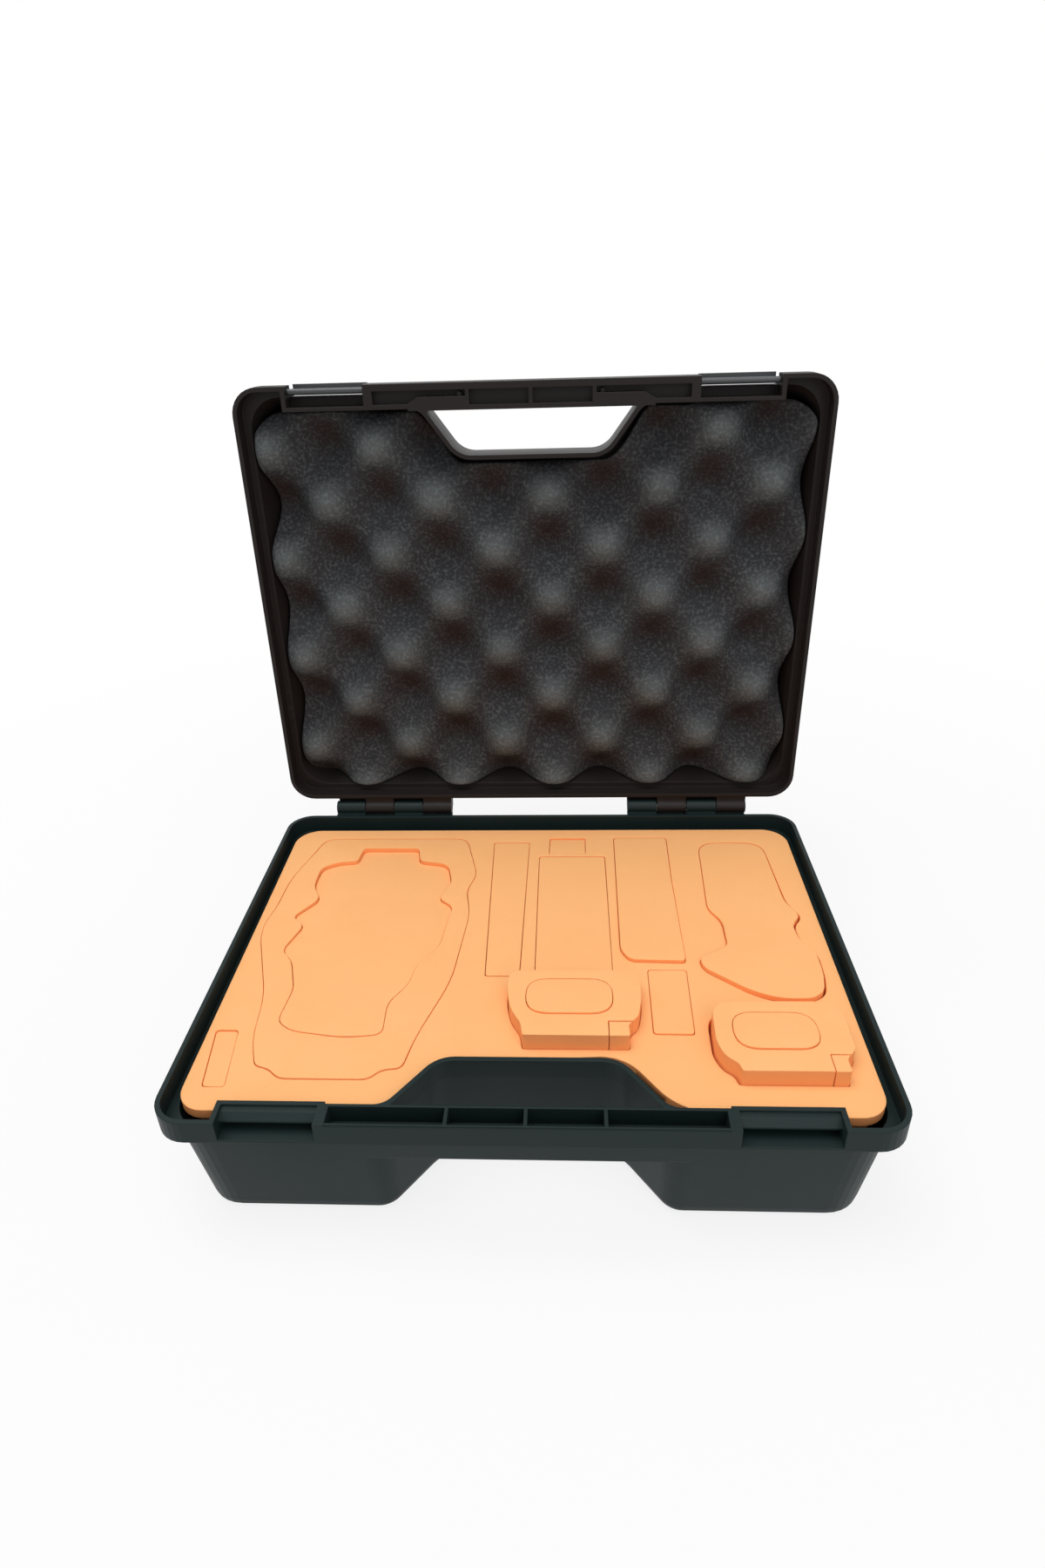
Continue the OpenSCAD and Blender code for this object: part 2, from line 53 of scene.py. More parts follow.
MM = 0.001  # metres in a millimetre
TINY = 1e-9  # least length that is divided by
TURN = 2 * math.pi
BLEND_STEPS = 6  # steps along a blended corner
BLEND_SHARE = 0.45  # most of an edge that one blend takes
MITRE_LIMIT = 0.3  # least divisor of a mitre, which keeps a sharp corner from running away
CORNER_STEPS = 10  # steps round a corner of the stock
FLARE_STEPS = 12  # steps round a flare beside the hand hole
WAVES = 3  # sines in the drift of a gap
WAVE_COUNTS = (3, 14)  # fewest waves round an outline, and one past the most

Color = tuple[float, float, float]
Corners = list[tuple[float, float, float]]
Outlet = bpy.types.NodeSocket
Operand = float | Color | Outlet


class Slot(Enum):
    """Names of two material slots of the record."""

    LID_FOAM = "lid_foam"
    FOAM = "foam"


class Socket(Enum):
    """Socket types of a shader node group."""

    FLOAT = "NodeSocketFloat"
    VECTOR = "NodeSocketVector"


# Outlines


def share(value: np.ndarray, over: float) -> np.ndarray:
    """Value over a length, held between 0 and 1."""
    return np.clip(value / over, 0.0, 1.0)


def arc(x: float, y: float, r: float, a: float, b: float, n: int) -> np.ndarray:
    """Points of an arc: the centre plus r times (cos, sin) of n + 1 even angles.

    Args:
        x: centre x.
        y: centre y.
        r: radius.
        a: first angle in degrees.
        b: last angle in degrees.
        n: number of steps.

    Returns:
        Points as an (n + 1, 2) array.
    """
    t = np.radians(np.linspace(a, b, n + 1))
    return np.stack((x + r * np.cos(t), y + r * np.sin(t)), axis=1)


def blended(corners: np.ndarray) -> np.ndarray:
    """Clockwise outline whose corners are blended by quadratic curves.

    Each corner p with blend t becomes (1-k)^2 (p + a t) + 2k(1-k) p + k^2 (p + b t), where a
    and b are the unit vectors to its neighbours and k runs from 0 to 1.

    Args:
        corners: x, y and blend of each corner, clockwise, as three columns.

    Returns:
        Points as an array of two columns.
    """
    p = corners[:, :2]
    a = np.roll(p, 1, axis=0) - p
    b = np.roll(p, -1, axis=0) - p
    la = np.linalg.norm(a, axis=1)
    lb = np.linalg.norm(b, axis=1)
    t = np.minimum(corners[:, 2], BLEND_SHARE * np.minimum(la, lb))
    start = (p + a * (t / la)[:, None])[:, None, :]
    end = (p + b * (t / lb)[:, None])[:, None, :]
    k = np.linspace(0.0, 1.0, BLEND_STEPS + 1)[None, :, None]
    return ((1 - k) ** 2 * start + 2 * k * (1 - k) * p[:, None, :] + k**2 * end).reshape(-1, 2)


def drawn_in(loop: np.ndarray, d: float | np.ndarray) -> np.ndarray:
    """Clockwise outline moved inwards by d: each point moves along the mitre of its two edges.

    Args:
        loop: clockwise points.
        d: distance inwards, one for all or one column of them; a negative one grows it.

    Returns:
        Points as an array of two columns.
    """
    u = loop - np.roll(loop, 1, axis=0)
    v = np.roll(loop, -1, axis=0) - loop
    u = u / np.maximum(np.linalg.norm(u, axis=1, keepdims=True), TINY)
    v = v / np.maximum(np.linalg.norm(v, axis=1, keepdims=True), TINY)
    a = np.stack((u[:, 1], -u[:, 0]), axis=1)
    b = np.stack((v[:, 1], -v[:, 0]), axis=1)
    return loop + (a + b) * d / np.maximum(1 + np.sum(a * b, axis=1, keepdims=True), MITRE_LIMIT)


def waver(loop: np.ndarray, seed: int, size: float) -> np.ndarray:
    """Slow drift of a given gap along an outline: the mean of sines of the length run so far.

    Each sine fits a whole number of waves into the outline, so that it closes.

    Args:
        loop: closed outline.
        seed: number that sets the waves' phases.
        size: largest drift.

    Returns:
        One column with the drift at each point.
    """
    step = np.linalg.norm(np.roll(loop, -1, axis=0) - loop, axis=1)
    run = np.concatenate(([0.0], np.cumsum(step)[:-1])) / max(np.sum(step), TINY)
    rng = np.random.default_rng(seed)
    waves = rng.integers(*WAVE_COUNTS, WAVES)
    phase = rng.uniform(0.0, TURN, WAVES)
    drift = np.sin(TURN * run[:, None] * waves[None, :] + phase[None, :]).mean(axis=1)
    return size * drift[:, None]


def ring(loop: np.ndarray, height: float) -> np.ndarray:
    """Puts an outline at one height, as three columns."""
    return np.column_stack((loop, np.full(len(loop), height)))


def swept_wall(
    corners: Corners,
    profile: np.ndarray,
    sign: float,
    gap: float = 0.0,
    seed: int = 0,
    drift: float = 0.0,
) -> np.ndarray:
    """Wall of a foam piece: a profile of (inset, height) rows carried round an outline.

    The corners are moved in along their mitres before they are blended, so that a small blend
    keeps its size instead of folding over.

    Args:
        corners: (x, y, blend) of each corner, clockwise.
        profile: rows of inset into the foam and height, from the bottom up.
        sign: 1 for an outer outline, -1 for a hole, whose foam lies outside it.
        gap: extra inset of the whole outline.
        seed: number that sets the drift of the gap.
        drift: largest drift of the gap.

    Returns:
        Grid of points, one outline for each profile row, as (rows, points, 3).
    """
    c = np.array(corners, float)
    rings = []
    for inset, height in profile:
        loop = blended(np.column_stack((drawn_in(c[:, :2], sign * inset + gap), c[:, 2])))
        rings.append(ring(drawn_in(loop, waver(loop, seed, drift)), height))
    return np.stack(rings)


def stock_wall(
    loop: np.ndarray, profile: np.ndarray, foot: list[tuple[np.ndarray, float, float]]
) -> np.ndarray:
    """Wall of the stock sheet: its outline with a rounded top, drawn to its middle at the foot.

    Args:
        loop: clockwise outline.
        profile: rows of inset and height of the upright part, from the bottom up.
        foot: outline, inset and height of each ring below it, scaled to that inset.

    Returns:
        Grid of points, one outline for each row, as (rows, points, 3).
    """
    half = np.max(np.abs(loop), axis=0)
    low = [ring(f * (1 - d / half), h) for f, d, h in foot]
    high = [ring(drawn_in(loop, d), h) for d, h in profile]
    return np.stack(low + high)


# Meshes


def grid_faces(rows: int, cols: int, start: int, closed: bool) -> np.ndarray:
    """Quads of a grid of points stored row by row.

    Args:
        rows: number of rows.
        cols: number of points in a row.
        start: index of the first point.
        closed: True where a row's last point joins its first.

    Returns:
        Quads as an array of four columns.
    """
    i = np.arange(rows - 1)[:, None] * cols
    j = np.arange(cols if closed else cols - 1)[None, :]
    k = (j + 1) % cols
    return (np.stack((i + j, i + k, i + k + cols, i + j + cols), axis=2) + start).reshape(-1, 4)


def add_mesh(name: str, points: np.ndarray, *faces: np.ndarray) -> bpy.types.Object:
    """Puts arrays of points in millimetres and faces into a new object.

    Args:
        name: name of the piece.
        points: three columns.
        *faces: arrays of point indices, one row for each face, as many columns as corners.

    Returns:
        The object, at the origin.
    """
    mesh = bpy.data.meshes.new(name)
    mesh.vertices.add(len(points))
    mesh.vertices.foreach_set("co", (points * MM).astype(np.float32).ravel())
    loops = np.concatenate([f.ravel() for f in faces]).astype(np.int32)
    corners = np.concatenate([np.full(len(f), f.shape[1]) for f in faces])
    mesh.loops.add(len(loops))
    mesh.loops.foreach_set("vertex_index", loops)
    mesh.polygons.add(len(corners))
    mesh.polygons.foreach_set("loop_start", (np.cumsum(corners) - corners).astype(np.int32))
    mesh.update(calc_edges=True)
    mesh.validate()
    obj = bpy.data.objects.new(name, mesh)
    bpy.context.scene.collection.objects.link(obj)
    return obj


def add_values(obj: bpy.types.Object, name: str, domain: str, values: np.ndarray) -> None:
    """Stores a number for each point or face, which the piece's material reads.

    Args:
        obj: the piece.
        name: attribute name.
        domain: POINT or FACE.
        values: one number for each.
    """
    store = obj.data.attributes.new(name, "FLOAT", domain)
    store.data.foreach_set("value", values.astype(np.float32))


def close_caps(obj: bpy.types.Object) -> None:
    """Fills the open outlines at the top and bottom of a piece, round its holes.

    Args:
        obj: the piece, whose walls are in place.
    """
    bm = bmesh.new()
    bm.from_mesh(obj.data)
    open_edges = [e for e in bm.edges if e.is_boundary]
    heights = [e.verts[0].co.z for e in open_edges]
    middle = 0.5 * (min(heights) + max(heights))
    for upper in (True, False):
        edges = [e for e in open_edges if (e.verts[0].co.z > middle) == upper]
        normal = (0, 0, 1 if upper else -1)
        bmesh.ops.triangle_fill(bm, use_beauty=True, edges=edges, normal=normal)
    bmesh.ops.recalc_face_normals(bm, faces=bm.faces[:])
    bm.to_mesh(obj.data)
    bm.free()


def shade(obj: bpy.types.Object, angle: float) -> None:
    """Smooths the faces of a piece and leaves sharp edges.

    Args:
        obj: the piece.
        angle: angle in degrees past which an edge stays sharp.
    """
    mesh = obj.data
    mesh.polygons.foreach_set("use_smooth", np.ones(len(mesh.polygons), dtype=bool))
    mesh.set_sharp_from_angle(angle=math.radians(angle))
    mesh.update()


# Shader nodes


class NodeTable:
    """A node tree and the nodes that this scene adds to it."""

    def __init__(self, tree: bpy.types.NodeTree) -> None:
        """Takes the tree."""
        self.tree = tree

    def feed(self, socket: Outlet, value: Operand) -> None:
        """Links a socket to an outlet, or sets it to a number or an opaque colour.

        Args:
            socket: socket to feed.
            value: outlet, number or colour.
        """
        if isinstance(value, bpy.types.NodeSocket):
            self.tree.links.new(value, socket)
        else:
            socket.default_value = (*value, 1.0) if isinstance(value, tuple) else value

    def noise(self, vector: Outlet, scale: Operand, detail: float) -> Outlet:
        """Adds a noise texture.

        Args:
            vector: coordinates.
            scale: number or outlet.
            detail: octaves.

        Returns:
            Its value.
        """
        n = self.tree.nodes.new("ShaderNodeTexNoise")
        n.inputs["Detail"].default_value = detail
        self.feed(n.inputs["Vector"], vector)
        self.feed(n.inputs["Scale"], scale)
        return n.outputs["Fac"]

    def math(self, operation: str, a: Operand, b: Operand) -> Outlet:
        """Adds a math node.

        Args:
            operation: Blender's name for it.
            a: first number or outlet.
            b: second number or outlet.

        Returns:
            The result.
        """
        n = self.tree.nodes.new("ShaderNodeMath")
        n.operation = operation
        self.feed(n.inputs[0], a)
        self.feed(n.inputs[1], b)
        return n.outputs[0]

    def line(self, value: Outlet, gain: float, offset: float = 0.0) -> Outlet:
        """Adds a straight line: gain times a value, plus an offset.

        Args:
            value: outlet.
            gain: slope.
            offset: result where the value is 0.

        Returns:
            The result.
        """
        scaled = self.math("MULTIPLY", value, gain)
        return self.math("ADD", scaled, offset) if offset else scaled

    def ramp(self, value: Outlet, low: float, high: float) -> Outlet:
        """Adds a clamped map of a value from [low, high] to [0, 1].

        Args:
            value: outlet.
            low: value that becomes 0.
            high: value that becomes 1.

        Returns:
            The result.
        """
        n = self.tree.nodes.new("ShaderNodeMapRange")
        n.inputs["From Min"].default_value = low
        n.inputs["From Max"].default_value = high
        self.feed(n.inputs["Value"], value)
        return n.outputs["Result"]

    def mix(self, factor: Operand, a: Operand, b: Operand) -> Outlet:
        """Adds a mix of two colours.

        Args:
            factor: share of the second one.
            a: first colour or outlet.
            b: second colour or outlet.

        Returns:
            The result.
        """
        n = self.tree.nodes.new("ShaderNodeMix")
        n.data_type = "RGBA"
        factor_in, first_in, second_in = n.inputs[0], n.inputs[6], n.inputs[7]
        for socket, value in ((factor_in, factor), (first_in, a), (second_in, b)):
            self.feed(socket, value)
        return n.outputs[2]


class EffectGroup(NodeTable):
    """A shader node group that takes object coordinates and one value."""

    def __init__(self, name: str, value: str, outs: tuple[str, ...]) -> None:
        """Makes the empty group.

        Args:
            name: group name.
            value: name of the value.
            outs: names of the outputs.
        """
        tree = bpy.data.node_groups.new(name, "ShaderNodeTree")
        super().__init__(tree)
        for key, kind in (("Vector", Socket.VECTOR), (value, Socket.FLOAT)):
            tree.interface.new_socket(name=key, in_out="INPUT", socket_type=kind.value)
        for key in outs:
            tree.interface.new_socket(name=key, in_out="OUTPUT", socket_type=Socket.FLOAT.value)
        given = tree.nodes.new("NodeGroupInput")
        self.vector, self.value = given.outputs["Vector"], given.outputs[value]
        self.results = tree.nodes.new("NodeGroupOutput").inputs


class Effects:
    """Shared effects, each a node group that is built once."""

    @cached_property
    def moulded_grain(self) -> bpy.types.NodeTree:
        """Fine spark-eroded grain of a mould: two sizes of noise, and a broad gloss drift.

        Returns:
            Group with Vector and Size in, Height and Drift out.
        """
        g = EffectGroup("MouldedGrain", "Size", ("Height", "Drift"))
        fine = g.noise(g.vector, scale=g.value, detail=3.0)
        pebble = g.noise(g.vector, scale=g.line(g.value, gain=0.35), detail=1.0)
        drift = g.noise(g.vector, scale=14.0, detail=4.0)
        g.feed(g.results["Height"], g.math("ADD", g.line(pebble, gain=0.6), fine))
        g.feed(g.results["Drift"], g.ramp(drift, low=0.3, high=0.7))
        return g.tree

    @cached_property
    def scuffs(self) -> bpy.types.NodeTree:
        """Faint handling marks: noise stretched along one axis and cut to thin streaks.

        Returns:
            Group with Vector and Amount in, Mask out.
        """
        g = EffectGroup("Scuffs", "Amount", ("Mask",))
        turn = g.tree.nodes.new("ShaderNodeMapping")
        turn.inputs["Rotation"].default_value = (0.4, 0.9, 0.6)
        turn.inputs["Scale"].default_value = (18.0, 240.0, 240.0)
        g.feed(turn.inputs["Vector"], g.vector)
        streak = g.ramp(g.noise(turn.outputs["Vector"], scale=1.0, detail=2.0), low=0.62, high=0.74)
        patch = g.ramp(g.noise(g.vector, scale=22.0, detail=2.0), low=0.5, high=0.68)
        mask = g.math("MULTIPLY", streak, patch)
        g.feed(g.results["Mask"], g.math("MULTIPLY", mask, g.value))
        return g.tree

    @cached_property
    def foam_cells(self) -> bpy.types.NodeTree:
        """Cells of foam: a cell pattern broken up by noise, bright specks and a broad mottle.

        Returns:
            Group with Vector and Size in, Height, Speck and Mottle out.
        """
        g = EffectGroup("FoamCells", "Size", ("Height", "Speck", "Mottle"))
        cell = g.tree.nodes.new("ShaderNodeTexVoronoi")
        g.feed(cell.inputs["Vector"], g.vector)
        g.feed(cell.inputs["Scale"], g.value)
        fine = g.noise(g.vector, scale=g.line(g.value, gain=1.7), detail=2.0)
        mottle = g.noise(g.vector, scale=38.0, detail=5.0)
        rough = g.line(fine, gain=0.8)
        g.feed(g.results["Height"], g.math("ADD", cell.outputs["Distance"], rough))
        g.feed(g.results["Speck"], g.ramp(fine, low=0.46, high=0.76))
        g.feed(g.results["Mottle"], g.ramp(mottle, low=0.3, high=0.7))
        return g.tree


EFFECTS = Effects()


class Surface(NodeTable):
    """A material in the making, with its shader and object coordinates."""

    BEVEL_SAMPLES = 6

    def __init__(self, name: str) -> None:
        """Makes the material.

        Args:
            name: material name.
        """
        self.material = bpy.data.materials.new(name)
        self.material.use_nodes = True
        super().__init__(self.material.node_tree)
        self.shader = self.tree.nodes["Principled BSDF"]
        self.coords = self.tree.nodes.new("ShaderNodeTexCoord").outputs["Object"]

    def effect(self, group: bpy.types.NodeTree, **values: float) -> bpy.types.NodeOutputs:
        """Places a shared group on the object's coordinates.

        Args:
            group: node group.
            **values: input values by name.

        Returns:
            The group's outlets by name.
        """
        n = self.tree.nodes.new("ShaderNodeGroup")
        n.node_tree = group
        self.feed(n.inputs["Vector"], self.coords)
        for key, value in values.items():
            n.inputs[key].default_value = value
        return n.outputs

    def attribute(self, name: str) -> Outlet:
        """Adds a value that the piece stores.

        Args:
            name: attribute name.

        Returns:
            The value.
        """
        n = self.tree.nodes.new("ShaderNodeAttribute")
        n.attribute_name = name
        return n.outputs["Fac"]

    def look(self, color: Outlet, rough: Operand, gloss: float) -> None:
        """Sets the shader's colour, roughness and gloss.

        Args:
            color: outlet of the colour.
            rough: number or outlet of the roughness.
            gloss: specular level.
        """
        self.feed(self.shader.inputs["Base Color"], color)
        self.feed(self.shader.inputs["Roughness"], rough)
        self.feed(self.shader.inputs["Specular IOR Level"], gloss)

    def bump(self, height: Outlet, depth: float, strength: float, edge: float = 0.0) -> None:
        """Feeds a height into the shader's normal, over edges that are rounded in shading.

        Args:
            height: outlet of heights from 0 to about 1.
            depth: distance in metres that 1 stands for.
            strength: bump strength.
            edge: radius in metres of the rounded edges, or 0 for none.
        """
        bump = self.tree.nodes.new("ShaderNodeBump")
        bump.inputs["Distance"].default_value = depth
        bump.inputs["Strength"].default_value = strength
        self.feed(bump.inputs["Height"], height)
        if edge > 0:
            bevel = self.tree.nodes.new("ShaderNodeBevel")
            bevel.samples = self.BEVEL_SAMPLES
            bevel.inputs["Radius"].default_value = edge
            self.feed(bump.inputs["Normal"], bevel.outputs["Normal"])
        self.feed(self.shader.inputs["Normal"], bump.outputs["Normal"])


# Finishes


def paler(color: Color, gain: float, lift: float) -> Color:
    """Colour times gain plus lift, at most 1."""
    return tuple(min(1.0, gain * c + lift) for c in color)


@dataclass(frozen=True)
class MouldedPlastic:
    """Satin moulded plastic with a fine grain, a gloss drift and faint scuffs."""

    name: str
    color: Color
    pale: Color
    rough: float = 0.46
    gloss: float = 0.16
    grain: float = 1400.0
    scuff: float = 0.12
    edge: float = 0.0007
    tone_drift: float = 0.35
    rough_drift: float = 0.1
    scuff_rough: float = 0.3

    def build(self) -> bpy.types.Material:
        """Makes the material.

        Returns:
            The material.
        """
        s = Surface(self.name)
        grain = s.effect(EFFECTS.moulded_grain, Size=self.grain)
        scuff = s.effect(EFFECTS.scuffs, Amount=self.scuff)["Mask"]
        tone = s.mix(s.line(grain["Drift"], self.tone_drift), self.color, self.pale)
        low = self.rough - 0.5 * self.rough_drift
        rough = s.line(grain["Drift"], self.rough_drift, low)
        s.look(
            s.mix(scuff, tone, paler(self.pale, gain=3.0, lift=0.02)),
            s.math("ADD", rough, s.line(scuff, self.scuff_rough)),
            self.gloss,
        )
        s.bump(grain["Height"], depth=0.00012, strength=0.35, edge=self.edge)
        return s.material


@dataclass(frozen=True)
class DrawnSteel:
    """Plain drawn steel of the hinge pins, with darker draw marks."""

    name: str
    color: Color
    grain: float = 2400.0
    scuff: float = 0.4
    rough: float = 0.3
    rough_drift: float = 0.15

    def build(self) -> bpy.types.Material:
        """Makes the material.

        Returns:
            The material.
        """
        s = Surface(self.name)
        grain = s.effect(EFFECTS.moulded_grain, Size=self.grain)
        scuff = s.effect(EFFECTS.scuffs, Amount=self.scuff)["Mask"]
        s.shader.inputs["Metallic"].default_value = 1.0
        s.look(
            s.mix(scuff, self.color, paler(self.color, gain=0.6, lift=0.0)),
            s.line(grain["Drift"], self.rough_drift, self.rough),
            gloss=0.5,
        )
        s.bump(grain["Height"], depth=0.00004, strength=0.3)
        return s.material


@dataclass(frozen=True)
class CutFoam:
    """Closed-cell foam: matt skin with fine cells and a slight mottle, redder on its cut sides,
    which is partly their own colour and partly painted bounce light from the orange foam.
    """

    name: str
    color: Color
    deep: Color
    # colour of the cut sides, partly their own and partly painted bounce light from the orange foam
    cut: Color
    cells: float = 1500.0
    mottle: float = 0.16
    speck: float = 0.1
    rough: float = 0.76
    rough_drift: float = 0.1

    def build(self) -> bpy.types.Material:
        """Makes the material, which reads the piece's own cut attribute.

        Returns:
            The material.
        """
        s = Surface(self.name)
        cell = s.effect(EFFECTS.foam_cells, Size=self.cells)
        mottle, speck = s.line(cell["Mottle"], self.mottle), s.line(cell["Speck"], self.speck)
        skin = s.mix(s.math("ADD", mottle, speck), self.color, self.deep)
        s.look(
            # Upright cut faces take the redder cut colour: partly their own colour, partly painted
            # bounce light
            s.mix(s.attribute("cut"), skin, self.cut),
            s.line(cell["Mottle"], self.rough_drift, self.rough),
            gloss=0.25,
        )
        s.bump(cell["Height"], depth=0.0002, strength=0.3)
        return s.material


@dataclass(frozen=True)
class OpenFoam:
    """Open-cell egg-crate foam: grey flanks, specked peaks in painted light and hollows in a
    brownish painted shade.
    """

    name: str
    painted_light_peak: Color
    flank: Color
    painted_shade: Color
    cells: float = 330.0
    speck: float = 0.1
    peak_speck: float = 0.45
    rough: float = 0.88
    rough_drift: float = 0.08

    def build(self) -> bpy.types.Material:
        """Makes the material, which reads the piece's tone attribute of painted light and shade.

        Returns:
            The material.
        """
        s = Surface(self.name)
        cell = s.effect(EFFECTS.foam_cells, Size=self.cells)
        tone = s.attribute("tone")
        # Painted shade colour in the hollows and painted light colour on the peaks, by the tone
        # attribute
        ground = s.mix(s.ramp(tone, low=0.02, high=0.5), self.painted_shade, self.flank)
        ground = s.mix(s.ramp(tone, low=0.5, high=0.98), ground, self.painted_light_peak)
        # Bright specks of the cells, stronger where the tone paints light
        speck = s.math("MULTIPLY", cell["Speck"], s.line(tone, self.peak_speck, self.speck))
        s.look(
            s.mix(speck, ground, paler(self.painted_light_peak, gain=1.9, lift=0.012)),
            s.line(cell["Mottle"], self.rough_drift, self.rough),
            gloss=0.12,
        )
        s.bump(cell["Height"], depth=0.0009, strength=0.5)
        return s.material


# Sub-assemblies


@dataclass
class CaseSizes:
    """Sizes shared by the foam pieces, as in the part's source."""

    half_width: float = 165.0
    half_depth: float = 127.2
    base_height: float = 70.0
    lid_height: float = 34.0
    wall: float = 2.6
    shut_gap: float = 0.3
    axis_back: float = 7.5
    axis_rise: float = 2.0
    open_angle: float = 92.0
    hole_half: float = 57.5
    hole_depth: float = 39.2
    hole_slant: float = 36.0
    hole_round: float = 14.0
    hole_inset: float = 24.0  # from the hole's end to the centre of its round corner
    hole_lip: float = 1.5
    hole_wall: float = 2.4
    slot_back: float = 11.0
    slot_end: float = 134.5
    lid_rail_depth: float = 14.0
    foam_lift: float = 0.4  # of the foam off the shells' inner faces

    @property
    def front(self) -> float:
        """Y of the front rim."""
        return -self.half_depth

    def hole_side(self, g: float, r: float, e: float) -> np.ndarray:
        """Right half of the hand hole's outline: a round back corner, a slant and a flare.

        Args:
            g: growth towards the case's inside.
            r: flare radius.
            e: depth behind the front rim onto which the side flares.

        Returns:
            Points from the back middle to the front.
        """
        a = math.radians(self.hole_slant)
        cx0 = self.hole_half - self.hole_inset
        cy0 = self.front + self.hole_depth - self.hole_lip - self.hole_round
        q = self.hole_round + g
        cy = self.front + e + r
        sy = cy - r * math.sin(a)
        cx = cx0 + q * math.cos(a) + math.tan(a) * (cy0 + q * math.sin(a) - sy) + r * math.cos(a)
        corner = arc(cx0, cy0, q, 90, self.hole_slant, CORNER_STEPS)
        flare = arc(cx, cy, r, 180 + self.hole_slant, 270, FLARE_STEPS)
        return np.concatenate((corner, flare))

    def open_lid(self, points: np.ndarray) -> np.ndarray:
        """Turns points from the shut lid's place, z from its rim, to the open lid's place.

        Args:
            points: three columns.

        Returns:
            Turned points.
        """
        a = math.radians(-self.open_angle)
        ay = self.half_depth + self.axis_back
        az = self.base_height + self.axis_rise
        y = points[:, 1] - ay
        z = points[:, 2] + self.base_height + self.shut_gap - az
        turned_y = ay + y * math.cos(a) - z * math.sin(a)
        turned_z = az + y * math.sin(a) + z * math.cos(a)
        return np.column_stack((points[:, 0], turned_y, turned_z))


@dataclass
class Shells:
    """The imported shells, latches and pins in their finishes."""

    plastic: MouldedPlastic = MouldedPlastic(
        "satin_charcoal_plastic", (0.0088, 0.0174, 0.0172), (0.0137, 0.0248, 0.0245)
    )
    # The lid's plastic is darker than the base's and tinted warm brown; the warm tint is a painted
    # reflection of the orange foam
    lid_plastic_painted_reflection: MouldedPlastic = MouldedPlastic(
        "satin_charcoal_plastic_painted_orange_reflection", (0.0142, 0.0112, 0.0106), (0.0210, 0.0166, 0.0157)
    )
    latch: MouldedPlastic = MouldedPlastic(
        "satin_grey_plastic", (0.030, 0.034, 0.036), (0.045, 0.050, 0.053), rough=0.32, gloss=0.5
    )
    steel: DrawnSteel = DrawnSteel("drawn_steel", (0.55, 0.56, 0.58))

    def dress(self) -> None:
        """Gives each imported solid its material."""
        finishes = {
            ("base_shell",): self.plastic,
            ("lid_shell",): self.lid_plastic_painted_reflection,
            ("latch_left", "latch_right"): self.latch,
            ("hinge_pin_left", "hinge_pin_right"): self.steel,
        }
        for nodes, finish in finishes.items():
            mat = finish.build()
            for node in nodes:
                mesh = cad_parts[node].data
                mesh.materials.clear()
                mesh.materials.append(mat)
                LOG.info("dressed %s in %s", node, finish.name)


